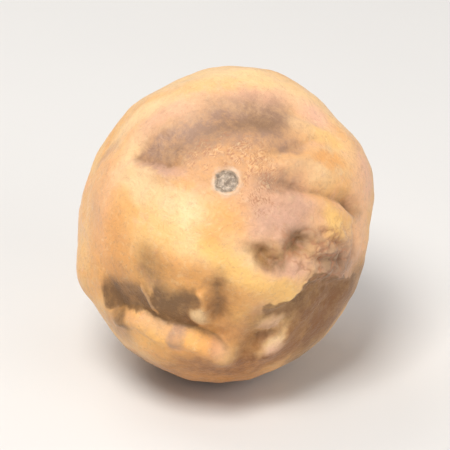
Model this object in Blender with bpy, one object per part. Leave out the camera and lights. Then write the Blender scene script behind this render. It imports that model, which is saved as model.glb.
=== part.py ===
"""A dried colocynth, the hard round gourd of a desert vine, as one solid.

The fruit is a ball a little taller than wide. Its rind shrank as it dried, so it is pressed into hollows, drawn
into folds and left proud in swells. The stalk dropped off and left a round corky scar on the face, and the flower
left a small dimple on the far side. Lengths are metres, +Z is up, and the origin is on the small flat spot that the
fruit rests on, straight below its middle.

Features are placed as they are seen when looking straight at the face, which is tipped up towards the viewer at
-Y: so many millimetres to the right of its middle and so many above it. Features on the back are placed the same
way, as seen from behind.
"""

import math
from dataclasses import dataclass

import bmesh
import bpy
import numpy as np
from mathutils import Vector, noise

MM = 0.001

# Driving dimensions: half the fruit's width, height and depth as seen on the face, and how it is turned.
HALF_WIDTH = 36.3 * MM
HALF_HEIGHT = 39.6 * MM
HALF_DEPTH = 37.4 * MM
LEAN = math.radians(15)  # the long way of the face leans this far to the right
FACE_TILT = math.radians(28)  # the face is tipped up this far from the horizontal
MEAN_RADIUS = (HALF_WIDTH + HALF_HEIGHT + HALF_DEPTH) / 3
MIDDLE_HEIGHT = 38.2 * MM  # the fruit's middle above the flat spot, a little less than the radius there

# The face's own directions, in the fruit's frame.
RIGHT = np.array([1.0, 0.0, 0.0])
RISE = np.array([0.0, math.sin(FACE_TILT), math.cos(FACE_TILT)])
OUT = np.array([0.0, -math.cos(FACE_TILT), math.sin(FACE_TILT)])

# Mesh sizes: cells along an edge of the starting cube, and how near detail, in millimetres, they are halved.
CELLS = 19
NEAR_FOLD = 3.6
NEAR_DEEP_FOLD = 2.0
NEAR_SCAR = (9.0, 5.8, 4.0)
NEAR_BLOSSOM = (6.0, 2.6)
DEEP = 1.0  # a fold at least this deep, in millimetres, has its cells halved twice
SMALL_SWELL = 3.0  # a swell no wider than this, in millimetres, has its cells halved

# Broad unevenness of the rind, over lumps of about this size.
LUMP_SIZE = 21 * MM
LUMP_HEIGHT = 0.9 * MM
LUMP_PHASE = Vector((3.1, 7.4, 1.9))
LUMP_LAYERS = 3


@dataclass(frozen=True)
class Swell:
    """An oval stretch of rind that stands proud, or is hollow where its height is below zero."""

    at: tuple  # millimetres right of and above the middle of the face
    reach: tuple  # half lengths along and across, in millimetres
    height: float  # millimetres, below zero for a hollow
    turn: float = 0.0  # degrees, anticlockwise
    back: bool = False


@dataclass(frozen=True)
class Fold:
    """A crease along a curved line, with its own slope on each side. Left and right are of the line's travel."""

    line: tuple  # places in millimetres
    depth: float
    slopes: tuple  # how wide the left and the right slope are, in millimetres
    lips: tuple = (0.0, 0.0)  # how proud the rind stands beyond the left and the right slope
    sharp: float = 1.5  # 1 is a V, 2 is a round valley
    ends: tuple = (0.22, 0.22)  # how much of its length fades in at its start and out at its end
    back: bool = False


@dataclass(frozen=True)
class Ledge:
    """A step down along a curved line, on the right of its travel, that evens out again further off."""

    line: tuple  # places in millimetres
    depth: float
    steep: float  # how wide the step is, in millimetres
    reach: float  # how far off the rind is level again, in millimetres
    ends: tuple = (0.22, 0.22)  # how much of its length fades in at its start and out at its end
    back: bool = False


SCAR_AT = (0.4, 10.6)
SCAR_RADIUS = 2.9
BLOSSOM_AT = (0.4, -10.6)

SWELLS = {
    "right shoulder": Swell((33.0, 16.0), (12, 9), 2.5, turn=-60),
    "left cheek": Swell((-35.3, -12.5), (9, 8), 2.4),
    "belly": Swell((-8.0, -1.0), (15, 9), 1.1, turn=25),
    "belly shoulder": Swell((-10.0, -8.0), (12, 3.6), 0.9, turn=-18),
    "lower belly": Swell((9.0, -14.5), (8.5, 4.2), 1.5, turn=10),
    "ridge right of the scar": Swell((23.5, 13.6), (9, 2.4), 1.2, turn=-8),
    "upper ridge on the right": Swell((20.0, 23.6), (8, 2.2), 0.8, turn=-24),
    "low ridge on the right": Swell((17.5, 15.2), (6, 1.6), 0.6, turn=14),
    "pad right of the scar": Swell((15.5, 6.0), (5, 2.4), 0.7, turn=-12),
    "lower lip": Swell((-16.0, -29.5), (16, 8.5), 1.5, turn=-16),
    "right end of the lip": Swell((-3.4, -31.5), (6, 3.4), 0.7, turn=-25),
    "knob under the fold": Swell((0.0, -31.4), (2.6, 2.4), 1.2),
    "bump in the fold": Swell((-6.2, -22.8), (2.6, 2.6), 1.9, turn=30),
    "upper fleck on the shaded side": Swell((11.6, -24.5), (3.4, 2.6), 0.9, turn=12),
    "lower fleck on the shaded side": Swell((12.6, -29.8), (5.6, 3.0), 1.2, turn=78),
    "brow hollow, left": Swell((-13.5, 19.5), (10, 4.6), -1.5, turn=22),
    "brow hollow, right": Swell((4.5, 27.0), (12, 5), -2.0, turn=5),
    "scar basin": Swell((0.4, 11.5), (9, 7), -0.8),
    "hollow right of the scar": Swell((13.5, 2.5), (8, 6), -0.8, turn=-30),
    "deep dent": Swell((18.0, -4.0), (3.2, 2.7), -1.9, turn=40),
    "small dent": Swell((9.8, -7.4), (2.8, 2.1), -1.5, turn=-30),
    "right notch": Swell((32.3, 5.0), (3.2, 2.4), -1.5, turn=-20),
    "waist on the right": Swell((37.6, -4.3), (8, 5), -1.9, turn=80),
    "shaded side": Swell((23.0, -24.0), (12, 8), -0.9, turn=38),
    "wedge beside the flecks": Swell((6.6, -27.6), (5.0, 3.0), -1.4, turn=66),
    "left smear": Swell((-18.0, -11.5), (4, 5), -0.6),
    "left temple": Swell((-28.0, 22.0), (10, 7), -1.1, turn=50),
    "crown dip": Swell((-12.0, 35.5), (8, 6), -0.7),
    "back, upper hollow": Swell((12.0, 20.0), (13, 8), -2.6, turn=25, back=True),
    "back, left hollow": Swell((-22.0, 8.0), (8, 12), -2.4, turn=-15, back=True),
    "back, low swell": Swell((16.0, -9.0), (11, 8), 1.5, back=True),
    "back, crown swell": Swell((-8.0, 27.0), (10, 6), 1.2, turn=-20, back=True),
    "back, middle swell": Swell((-7.0, 9.0), (8, 6), 1.0, turn=40, back=True),
    "back, right flank": Swell((31.0, 2.0), (6, 11), -1.5, back=True),
    "back, dent": Swell((5.5, 4.5), (4.5, 3.2), -1.6, turn=-25, back=True),
    "back, upper left dent": Swell((-21.0, 21.0), (6.5, 4.5), -1.6, turn=35, back=True),
    "back, low hollow": Swell((-10.0, -25.0), (10, 5), -1.6, turn=-12, back=True),
}

FOLDS = {
    "brow line": Fold(
        ((-25, 17.8), (-21, 16.6), (-17, 15.6), (-13, 14.7), (-9, 15.8)), 1.1, (3.2, 1.5), (0.0, 0.5)
    ),
    "line right of the scar": Fold(
        (
            (8.5, 10.7), (14, 10.4), (18, 9.4), (19.8, 8.5), (23.4, 8.0), (27.7, 6.8), (31.7, 5.2),
            (33.8, 2.2),
        ),
        1.6, (1.7, 1.5), (0.4, 0.2), ends=(0.25, 0.12),
    ),
    "upper line right of the scar": Fold(
        ((9, 17.4), (13, 18.2), (17, 19.3), (21, 21.0), (24.5, 21.4)), 1.1, (2.0, 1.6), (0.2, 0.3)
    ),
    "furrow on the shoulder": Fold(
        ((14.5, 27.0), (20, 25.5), (25, 21.5), (28.5, 15.5)), 0.7, (2.6, 3.2), (0.2, 0.3), sharp=2.0
    ),
    "crack below the scar": Fold(((3.6, 6.0), (4.8, 3.6), (6.4, 0.6)), 0.35, (0.8, 0.7), (0.2, 0.0)),
    "line between the dents": Fold(
        (
            (5.5, -5.0), (9.0, -6.6), (10.9, -8.7), (13.0, -8.6), (15.5, -6.6), (18.5, -4.6), (19.8, -0.8),
        ),
        0.8, (1.6, 1.6), (0.2, 0.4),
    ),
    "seam across the shaded side": Fold(
        ((3.0, -32.5), (7.6, -28.9), (12.5, -26.6), (16.5, -22.5)), 0.8, (1.9, 2.1), (0.2, 0.2)
    ),
    "long fold": Fold(
        (
            (-28.8, -20.2), (-26.0, -20.7), (-22.5, -21.0), (-19.5, -22.3), (-15.0, -24.2), (-9.5, -25.3),
            (-4.3, -27.2), (-0.9, -29.2), (2.6, -30.8),
        ),
        3.0, (8.5, 1.4), (0.0, 0.9), ends=(0.1, 0.16),
    ),
    "rib in the fold": Fold(((-20.8, -14.5), (-19.2, -17.8), (-17.6, -22.4)), -0.9, (0.8, 0.8)),
    "second rib in the fold": Fold(((-6.6, -16.0), (-5.2, -18.6), (-5.0, -22.0)), -1.2, (0.9, 0.9)),
    "branch of the long fold": Fold(
        ((-2.0, -12.0), (-1.9, -16.0), (-1.7, -21.0), (-2.6, -25.5)), 1.9, (2.8, 3.0), (0.0, 0.3)
    ),
    "right flank, first crease": Fold(((22.5, -1.5), (27.0, -3.5), (31.5, -7.0)), 0.8, (1.3, 1.5), (0.3, 0.2)),
    "right flank, second crease": Fold(((20.5, -7.4), (25.5, -9.0), (31.5, -8.2)), 0.7, (1.1, 1.2), (0.3, 0.3)),
    "right flank, third crease": Fold(((27.8, -3.0), (29.3, -7.5), (28.3, -12.0)), 0.6, (1.0, 1.2), (0.3, 0.2)),
    "right flank, fourth crease": Fold(((32.0, 1.5), (33.2, -4.0), (31.8, -9.5)), 0.7, (1.2, 1.2), (0.2, 0.3)),
    "back, long crease": Fold(
        (
            (-24, -14), (-14, -19), (-3, -20), (9, -24), (19, -22),
        ),
        2.5, (6.2, 2.0), (0.0, 0.8), sharp=2.0, back=True,
    ),
    "back, crease to the blossom end": Fold(
        ((-27, 16), (-17, 11), (-10, 2), (-3, -6)), 1.8, (2.4, 4.4), (0.5, 0.0), sharp=2.0, back=True
    ),
    "back, crown crease": Fold(
        ((2, 33), (5, 25), (3, 16), (7, 7)), 1.6, (4.2, 2.2), (0.0, 0.5), sharp=2.0, back=True
    ),
    "back, right crease": Fold(
        ((33, 14), (26, 6), (22, -1), (12, -5)), 1.5, (3.6, 2.2), (0.3, 0.4), sharp=2.0, back=True
    ),
    "back, left crease": Fold(
        ((-34, -3), (-30, -9), (-24, -11), (-18, -8)), 1.3, (2.2, 3.0), (0.3, 0.2), sharp=2.0, back=True
    ),
}

LEDGES = {
    "edge of the shaded side": Ledge(
        (
            (7.5, -20.0), (11.0, -20.2), (14.7, -18.9), (18.2, -16.2), (20.2, -14.5), (22.5, -13.4),
            (26.0, -12.6), (29.0, -13.0), (33.0, -13.2),
        ),
        2.5, steep=1.5, reach=13.0,
    ),
}


def place(at, back=False):
    """The unit direction, from the fruit's middle, of a place given in millimetres as seen on the face or back."""
    right, rise = (value * MM / MEAN_RADIUS for value in at)
    out = math.sqrt(max(0.0, 1.0 - right * right - rise * rise))
    side = -1.0 if back else 1.0
    direction = right * side * RIGHT + rise * RISE + out * side * OUT
    return direction / np.linalg.norm(direction)


def rind_map(directions, centre):
    """Millimetres to the right of and above a place, along the rind, for each of an array of directions."""
    right = np.cross(RISE, centre)
    right /= np.linalg.norm(right)
    above = np.cross(centre, right)
    flat = np.stack([directions @ right, directions @ above], axis=1)
    length = np.maximum(np.linalg.norm(flat, axis=1), 1e-9)
    angle = np.arccos(np.clip(directions @ centre, -1.0, 1.0))
    return flat * (angle / length * MEAN_RADIUS / MM)[:, None]


def smooth_step(low, high, values):
    """0 below low, 1 above high and an even ramp between them."""
    share = np.clip((values - low) / (high - low), 0.0, 1.0)
    return share * share * (3.0 - 2.0 * share)


def smooth_line(points, steps=5):
    """A Catmull-Rom curve through the points, as a denser list of points."""
    ends = [2 * points[0] - points[1], *points, 2 * points[-1] - points[-2]]
    curve = []
    for a, b, c, d in zip(ends, ends[1:], ends[2:], ends[3:]):
        for step in range(steps):
            t = step / steps
            bend = (2 * a - 5 * b + 4 * c - d) * t**2 + (3 * b - a - 3 * c + d) * t**3
            curve.append(0.5 * (2 * b + (c - a) * t + bend))
    curve.append(points[-1])
    return np.array(curve)


def across_and_along(points, line):
    """Each point's distance from a line, above zero on its left, and how far along it, with its ends at 0 and 1."""
    nearest = np.full(len(points), np.inf)
    across = np.zeros(len(points))
    along = np.zeros(len(points))
    lengths = np.linalg.norm(np.diff(line, axis=0), axis=1)
    starts = np.concatenate([[0.0], np.cumsum(lengths)])
    for first, second, length, start in zip(line, line[1:], lengths, starts):
        travel = (second - first) / length
        offset = points - first
        ahead = offset @ travel
        gap = np.linalg.norm(offset - np.clip(ahead, 0.0, length)[:, None] * travel, axis=1)
        side = np.where(travel[0] * offset[:, 1] - travel[1] * offset[:, 0] >= 0, 1.0, -1.0)
        closer = gap < nearest
        nearest = np.where(closer, gap, nearest)
        across = np.where(closer, gap * side, across)
        along = np.where(closer, (start + ahead) / starts[-1], along)
    return across, along


def swell_distance(swell, directions):
    """How far each direction is from a swell's middle, as a share of the way to its rim."""
    flat = rind_map(directions, place(swell.at, swell.back))
    turn = math.radians(swell.turn)
    along = flat @ np.array([math.cos(turn), math.sin(turn)]) / swell.reach[0]
    across = flat @ np.array([-math.sin(turn), math.cos(turn)]) / swell.reach[1]
    return np.hypot(along, across)


def swell_height(swell, directions):
    """How far a swell raises the rind in each direction, in millimetres."""
    return swell.height * np.exp(-(swell_distance(swell, directions) ** 2))


def line_position(fold, directions):
    """Where each direction lies by the line of a fold or a ledge: millimetres across it, and how far along it."""
    places = [place(at, fold.back) for at in fold.line]
    middle = sum(places)
    middle = middle / np.linalg.norm(middle)
    line = smooth_line(list(rind_map(np.array(places), middle)))
    return across_and_along(rind_map(directions, middle), line)


def end_fade(fold, along):
    """How much of a fold or a ledge there is at each place along it, 0 to 1."""
    return smooth_step(0.0, fold.ends[0], along) * smooth_step(0.0, fold.ends[1], 1.0 - along)


def fold_height(fold, directions):
    """How far a fold raises the rind in each direction, in millimetres; its valley lies below zero."""
    across, along = line_position(fold, directions)
    left = across >= 0
    slope = np.where(left, fold.slopes[0], fold.slopes[1])
    lip = np.where(left, fold.lips[0], fold.lips[1])
    share = np.abs(across) / slope
    valley = -fold.depth * np.exp(-(share**fold.sharp))
    raised = lip * np.exp(-((share - 2.2) ** 2))
    return (valley + raised) * end_fade(fold, along)


def ledge_height(ledge, directions):
    """How far a ledge raises the rind in each direction, in millimetres: below zero on the right of its line."""
    across, along = line_position(ledge, directions)
    right = np.maximum(-across, 0.0)
    step = 1.0 - np.exp(-((right / ledge.steep) ** 2))
    return -ledge.depth * step * np.exp(-((right / ledge.reach) ** 2)) * end_fade(ledge, along)


def scar_height(directions):
    """The corky stalk scar: a low raised rim round a sunken pad with a crumb of stalk left in its middle."""
    radius = np.linalg.norm(rind_map(directions, place(SCAR_AT)), axis=1)
    rim = 0.30 * np.exp(-(((radius - SCAR_RADIUS - 0.4) / 0.7) ** 2))
    pad = -0.55 * smooth_step(SCAR_RADIUS, SCAR_RADIUS - 0.9, radius)
    crumb = 0.45 * np.exp(-((radius / 0.9) ** 2))
    return rim + pad + crumb


def blossom_height(directions):
    """The dimple that the flower left, with a small point in it."""
    radius = np.linalg.norm(rind_map(directions, place(BLOSSOM_AT, back=True)), axis=1)
    return -1.3 * np.exp(-((radius / 4.0) ** 2)) + 0.6 * np.exp(-((radius / 1.1) ** 2))


def lump_height(directions):
    """The broad unevenness of the rind in each direction, in metres."""
    scale = MEAN_RADIUS / LUMP_SIZE
    lumps = [noise.fractal(Vector(d) * scale + LUMP_PHASE, 1.0, 2.1, LUMP_LAYERS) for d in directions]
    return LUMP_HEIGHT * np.array(lumps)


def rind_radius(directions):
    """The distance from the fruit's middle to its rind in each of an array of directions, in metres."""
    tall = math.sin(LEAN) * RIGHT + math.cos(LEAN) * RISE
    wide = math.cos(LEAN) * RIGHT - math.sin(LEAN) * RISE
    share = (
        (directions @ wide / HALF_WIDTH) ** 2
        + (directions @ tall / HALF_HEIGHT) ** 2
        + (directions @ OUT / HALF_DEPTH) ** 2
    )
    height = scar_height(directions) + blossom_height(directions)
    for swell in SWELLS.values():
        height = height + swell_height(swell, directions)
    for fold in FOLDS.values():
        height = height + fold_height(fold, directions)
    for ledge in LEDGES.values():
        height = height + ledge_height(ledge, directions)
    return 1.0 / np.sqrt(share) + height * MM + lump_height(directions)


def points_of(mesh):
    """The mesh's vertices as an array of points."""
    return np.array([vertex.co[:] for vertex in mesh.verts])


def to_ball(mesh):
    """Moves every vertex out or in to a distance of 1 from the middle."""
    for vertex in mesh.verts:
        vertex.co.normalize()


def halve_cells(mesh, tests):
    """Splits the edges whose middles pass one of the tests, each of which takes an array of directions."""
    mesh.edges.ensure_lookup_table()
    middles = np.array([((e.verts[0].co + e.verts[1].co) / 2).normalized()[:] for e in mesh.edges])
    passed = np.any([is_near(middles) for is_near in tests], axis=0)
    chosen = [mesh.edges[i] for i in np.flatnonzero(passed)]
    bmesh.ops.subdivide_edges(mesh, edges=chosen, cuts=1, use_grid_fill=True)
    to_ball(mesh)


def near_place(at, reach, back=False):
    """A test of whether directions lie within reach of a place along the rind, in millimetres."""
    cosine = math.cos(reach * MM / MEAN_RADIUS)
    return lambda directions: directions @ place(at, back) > cosine


def near_folds(reach, least_depth):
    """A test of whether directions lie within reach, in millimetres, of a fold or a ledge at least so deep."""

    def is_near(directions):
        near = np.zeros(len(directions), bool)
        for fold in (*FOLDS.values(), *LEDGES.values()):
            if fold.depth >= least_depth or -fold.depth >= least_depth:
                across, along = line_position(fold, directions)
                near |= (np.abs(across) < reach) & (along > 0.02) & (along < 0.98)
        return near

    return is_near


def in_small_swell(directions):
    """Whether each direction lies in a swell too small for the ball's own cells."""
    inside = np.zeros(len(directions), bool)
    for swell in SWELLS.values():
        if min(swell.reach) <= SMALL_SWELL:
            inside |= swell_distance(swell, directions) < 1.2
    return inside


def starting_ball():
    """An even ball of quads: a gridded cube, blown out to a sphere, with small cells where the rind has detail."""
    mesh = bmesh.new()
    bmesh.ops.create_cube(mesh, size=2.0)
    bmesh.ops.subdivide_edges(mesh, edges=mesh.edges[:], cuts=CELLS - 1, use_grid_fill=True)
    for vertex in mesh.verts:
        vertex.co = Vector([math.tan(c * math.pi / 4) for c in vertex.co])
    to_ball(mesh)
    once = (
        near_folds(NEAR_FOLD, 0.0),
        in_small_swell,
        near_place(SCAR_AT, NEAR_SCAR[0]),
        near_place(BLOSSOM_AT, NEAR_BLOSSOM[0], back=True),
    )
    twice = (
        near_folds(NEAR_DEEP_FOLD, DEEP),
        near_place(SCAR_AT, NEAR_SCAR[1]),
        near_place(BLOSSOM_AT, NEAR_BLOSSOM[1], back=True),
    )
    thrice = (near_place(SCAR_AT, NEAR_SCAR[2]),)
    for tests in (once, twice, thrice):
        halve_cells(mesh, tests)
    return mesh


def fruit_mesh():
    """The fruit's whole surface, with its flat spot at height 0."""
    mesh = starting_ball()
    directions = points_of(mesh)
    radii = rind_radius(directions)
    for vertex, radius in zip(mesh.verts, radii):
        vertex.co *= radius
    bmesh.ops.translate(mesh, verts=mesh.verts[:], vec=(0.0, 0.0, MIDDLE_HEIGHT))
    cut = bmesh.ops.bisect_plane(
        mesh,
        geom=mesh.verts[:] + mesh.edges[:] + mesh.faces[:],
        dist=1e-7,
        plane_co=(0.0, 0.0, 0.0),
        plane_no=(0.0, 0.0, -1.0),
        clear_outer=True,
    )
    rim = [part for part in cut["geom_cut"] if isinstance(part, bmesh.types.BMEdge)]
    bmesh.ops.edgeloop_fill(mesh, edges=rim)
    bmesh.ops.recalc_face_normals(mesh, faces=mesh.faces[:])
    return mesh


def rind_material():
    """Dry tan rind: matt, with no metal in it."""
    material = bpy.data.materials.new("rind")
    material.use_nodes = True
    shader = material.node_tree.nodes["Principled BSDF"]
    shader.inputs["Base Color"].default_value = (0.78, 0.46, 0.20, 1.0)
    shader.inputs["Roughness"].default_value = 0.62
    shader.inputs["Metallic"].default_value = 0.0
    return material


def main():
    """Clears the scene and models the fruit."""
    for thing in list(bpy.data.objects):
        bpy.data.objects.remove(thing)
    surface = fruit_mesh()
    mesh = bpy.data.meshes.new("fruit")
    surface.to_mesh(mesh)
    surface.free()
    mesh.shade_smooth()
    mesh.materials.append(rind_material())
    fruit = bpy.data.objects.new("fruit", mesh)
    bpy.context.scene.collection.objects.link(fruit)


main()
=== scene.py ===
"""Looks of the dried colocynth: its fine rind, its stains, the shade and highlights painted into its colour,
and a plain studio to see it in.

The fruit is one piece. Its form repeats the sizes of the frame's solid at a finer grain and adds small
wrinkles. Features are placed as seen when looking straight at the face, the side with the stalk scar:
millimetres to the right of its middle and above it. Features on the back are placed as seen from behind.
"""

from __future__ import annotations

import logging
import math
from dataclasses import dataclass
from enum import Enum
from typing import Any, Callable, Mapping, Sequence, Union

import bmesh
import bpy
import numpy as np
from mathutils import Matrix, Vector, noise

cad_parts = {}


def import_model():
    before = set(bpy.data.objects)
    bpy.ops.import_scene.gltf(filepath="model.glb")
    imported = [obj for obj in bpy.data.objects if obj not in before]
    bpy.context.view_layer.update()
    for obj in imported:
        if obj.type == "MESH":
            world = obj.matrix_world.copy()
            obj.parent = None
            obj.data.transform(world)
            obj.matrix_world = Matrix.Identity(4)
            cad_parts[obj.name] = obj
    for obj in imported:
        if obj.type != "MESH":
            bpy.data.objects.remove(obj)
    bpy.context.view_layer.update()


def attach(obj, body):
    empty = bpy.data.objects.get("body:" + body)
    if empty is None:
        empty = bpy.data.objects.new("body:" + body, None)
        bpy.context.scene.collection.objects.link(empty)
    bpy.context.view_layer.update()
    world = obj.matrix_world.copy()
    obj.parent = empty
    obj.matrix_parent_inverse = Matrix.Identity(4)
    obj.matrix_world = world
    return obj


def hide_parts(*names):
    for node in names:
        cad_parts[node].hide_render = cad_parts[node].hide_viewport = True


MM = 0.001
TINY = 1e-9  # keeps a division from being by zero
Pair = tuple[float, float]
Colour = tuple[float, float, float]

log = logging.getLogger("colocynth")

# The fruit's driving dimensions, as the frame's solid has them.
HALF_WIDTH = 36.3 * MM
HALF_HEIGHT = 39.6 * MM
HALF_DEPTH = 37.4 * MM
LEAN = math.radians(15)  # the long way of the face leans this far to the right
FACE_TILT = math.radians(28)  # the face is tipped up this far from the horizontal
MEAN_RADIUS = (HALF_WIDTH + HALF_HEIGHT + HALF_DEPTH) / 3
MIDDLE_HEIGHT = 38.2 * MM  # the fruit's middle above the flat spot
ON_CUT = 1e-7  # a point this near the flat spot's plane counts as on it, in metres

# How noise is layered.
LAYER_FALL = 1.0  # how fast the finer layers weaken
LAYER_STEP = 2.1  # how much finer each layer is than the last

# The face's own directions.
RIGHT = np.array([1.0, 0.0, 0.0])
RISE = np.array([0.0, math.sin(FACE_TILT), math.cos(FACE_TILT)])
OUT = np.array([0.0, -math.cos(FACE_TILT), math.sin(FACE_TILT)])

# How a crease is shaped and how much painted shade is laid along it and at a ledge's foot. Slopes are counted
# from its line.
LIP_PLACE = 2.2  # a lip's top, in slopes
DARK_WIDTH = 0.22  # half the width of a V's dark line, in slopes; a rounder valley's is wider
PALE_DEPTH = 0.6  # a valley no deeper than this, in millimetres, isn't darkened
DARK_DEPTH = 0.4  # how much deeper a V is where it is darkest; a rounder valley is deeper still
FOOT_SHADE = 0.3  # how dark a ledge's foot is


class Side(Enum):
    """The side of the fruit that a feature is placed on."""

    FACE = 1.0
    BACK = -1.0


class Tone(Enum):
    """What a stretch of rind is tinted with: its own colours, with painted shade laid in umber, rust and
    orange, and painted highlights in cream, gold and blush. The value names the point attribute that holds
    its amount.
    """

    CREAM_AND_HIGHLIGHT = "cream_and_highlight"
    BLUSH = "blush"
    PINK = "pink"
    GOLD_AND_HIGHLIGHT = "gold_and_highlight"
    ORANGE = "orange"
    MAUVE = "mauve"
    UMBER_AND_SHADE = "umber_and_shade"
    RUST_AND_SHADE = "rust_and_shade"


def smooth_step(low: float, high: float, values: np.ndarray) -> np.ndarray:
    """Gives 0 at low, 1 at high and a smooth ramp between them.

    Args:
        low: The value that gives 0.
        high: The value that gives 1, which may be below low.
        values: What is measured against them.

    Returns:
        The ramp's height for each value.
    """
    share = np.clip((values - low) / (high - low), 0.0, 1.0)
    return share * share * (3.0 - 2.0 * share)


def dome(share: np.ndarray) -> np.ndarray:
    """A soft dome: 1 at 0, about a third at 1 and -1, and next to nothing at 2 and -2."""
    return np.exp(-(share**2))


def heading(turn: float) -> np.ndarray:
    """A unit vector right and up, turned so many degrees anticlockwise from the right."""
    return np.array([math.cos(math.radians(turn)), math.sin(math.radians(turn))])


def fade_ends(along: np.ndarray, ends: Pair) -> np.ndarray:
    """Fades a line's feature in at its start and out at its end.

    Args:
        along: How far along the line each place is, where its ends are at 0 and 1.
        ends: How much of its length the two fades take.

    Returns:
        The feature's strength at each place, 0 to 1.
    """
    return smooth_step(0.0, ends[0], along) * smooth_step(0.0, ends[1], 1.0 - along)


def layered_noise(spots: np.ndarray, offset: Vector, octaves: int) -> np.ndarray:
    """Layered noise of about -1 to 1 at each spot, read from a place in it that offset chooses."""
    return np.array([noise.fractal(Vector(spot) + offset, LAYER_FALL, LAYER_STEP, octaves) for spot in spots])


def noise_field(directions: np.ndarray, size: float, phase: float, octaves: int = 2) -> np.ndarray:
    """Even noise over the fruit.

    Args:
        directions: Unit directions from the fruit's middle.
        size: How large the noise's lumps are, in millimetres.
        phase: What sets this noise apart from any other.
        octaves: How many finer layers it has.

    Returns:
        A value of about -1 to 1 for each direction.
    """
    scale = MEAN_RADIUS / MM / size
    offset = Vector((phase, 2.0 * phase + 4.3, 7.7 - phase))
    return layered_noise(directions * scale, offset, octaves)


def streaked(directions: np.ndarray, along: np.ndarray, length: float) -> np.ndarray:
    """Directions drawn together one way, so that noise read from them comes out in streaks.

    Args:
        directions: Unit directions from the fruit's middle.
        along: The unit direction that the streaks run in.
        length: How many times longer than wide a streak is.

    Returns:
        The directions to read noise at.
    """
    return directions - (1.0 - 1.0 / length) * (directions @ along)[:, None] * along


def place(at: Pair, side: Side = Side.FACE) -> np.ndarray:
    """The unit direction of a place from the fruit's middle.

    Args:
        at: Millimetres to the right of and above the middle of that side, as seen when looking at it.
        side: The side that it is on.

    Returns:
        The direction.
    """
    right, rise = (value * MM / MEAN_RADIUS for value in at)
    out = math.sqrt(max(0.0, 1.0 - right * right - rise * rise))
    direction = right * side.value * RIGHT + rise * RISE + out * side.value * OUT
    return direction / np.linalg.norm(direction)


def rind_map(directions: np.ndarray, centre: np.ndarray) -> np.ndarray:
    """Lays the rind round a place out flat.

    Args:
        directions: Unit directions from the fruit's middle.
        centre: The direction of the place.

    Returns:
        Millimetres to the right of and above the place, along the rind, for each direction.
    """
    right = np.cross(RISE, centre)
    right /= np.linalg.norm(right)
    above = np.cross(centre, right)
    flat = np.stack([directions @ right, directions @ above], axis=1)
    length = np.maximum(np.linalg.norm(flat, axis=1), TINY)
    angle = np.arccos(np.clip(directions @ centre, -1.0, 1.0))
    return flat * (angle / length * MEAN_RADIUS / MM)[:, None]


def smooth_line(points: Sequence[np.ndarray], steps: int = 5) -> np.ndarray:
    """A Catmull-Rom curve through points.

    Args:
        points: The points that it runs through.
        steps: How many pieces each stretch has.

    Returns:
        The denser list of points.
    """
    ends = [2 * points[0] - points[1], *points, 2 * points[-1] - points[-2]]
    curve = []
    for a, b, c, d in zip(ends, ends[1:], ends[2:], ends[3:]):
        for step in range(steps):
            t = step / steps
            bend = (2 * a - 5 * b + 4 * c - d) * t**2 + (3 * b - a - 3 * c + d) * t**3
            curve.append(0.5 * (2 * b + (c - a) * t + bend))
    curve.append(points[-1])
    return np.array(curve)


@dataclass(frozen=True)
class Oval:
    """An oval stretch of rind.

    Attributes:
        at: Its middle, in millimetres right of and above the middle of its side.
        reach: Its half lengths along and across, in millimetres.
        turn: How far it is turned anticlockwise, in degrees.
        side: The side that it is on.
    """

    at: Pair
    reach: Pair
    turn: float = 0.0
    side: Side = Side.FACE

    def distance(self, directions: np.ndarray) -> np.ndarray:
        """How far each direction is from the oval's middle.

        Args:
            directions: Unit directions from the fruit's middle.

        Returns:
            The distance as a share of the way to its rim.
        """
        flat = rind_map(directions, place(self.at, self.side))
        right, rise = heading(self.turn)
        along = flat @ np.array([right, rise]) / self.reach[0]
        across = flat @ np.array([-rise, right]) / self.reach[1]
        return np.hypot(along, across)

    def mound(self, directions: np.ndarray) -> np.ndarray:
        """A soft mound over the oval: 1 in its middle, about a third at its rim."""
        return dome(self.distance(directions))


@dataclass(frozen=True)
class Line:
    """A curved line on the rind.

    Attributes:
        points: The places that it runs through, in millimetres.
        side: The side that it is on.
    """

    points: tuple[Pair, ...]
    side: Side = Side.FACE

    def position(self, directions: np.ndarray) -> tuple[np.ndarray, np.ndarray]:
        """Where each direction lies by the line.

        Args:
            directions: Unit directions from the fruit's middle.

        Returns:
            Millimetres from the line, above zero on its left, and how far along it, 0 and 1 being its ends.
        """
        places = [place(at, self.side) for at in self.points]
        middle = sum(places)
        middle = middle / np.linalg.norm(middle)
        line = smooth_line(list(rind_map(np.array(places), middle)))
        spots = rind_map(directions, middle)
        nearest = np.full(len(spots), np.inf)
        across, along = np.zeros(len(spots)), np.zeros(len(spots))
        lengths = np.linalg.norm(np.diff(line, axis=0), axis=1)
        starts = np.concatenate([[0.0], np.cumsum(lengths)])
        for first, second, length, start in zip(line, line[1:], lengths, starts):
            travel = (second - first) / length
            offset = spots - first
            ahead = offset @ travel
            gap = np.linalg.norm(offset - np.clip(ahead, 0.0, length)[:, None] * travel, axis=1)
            hand = np.where(travel[0] * offset[:, 1] - travel[1] * offset[:, 0] >= 0, 1.0, -1.0)
            closer = gap < nearest
            nearest = np.where(closer, gap, nearest)
            across = np.where(closer, gap * hand, across)
            along = np.where(closer, (start + ahead) / starts[-1], along)
        return across, along

    def length(self) -> float:
        """Its length, in millimetres."""
        places = np.array([place(at, self.side) for at in self.points]) * MEAN_RADIUS / MM
        return float(np.linalg.norm(np.diff(places, axis=0), axis=1).sum())


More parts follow.
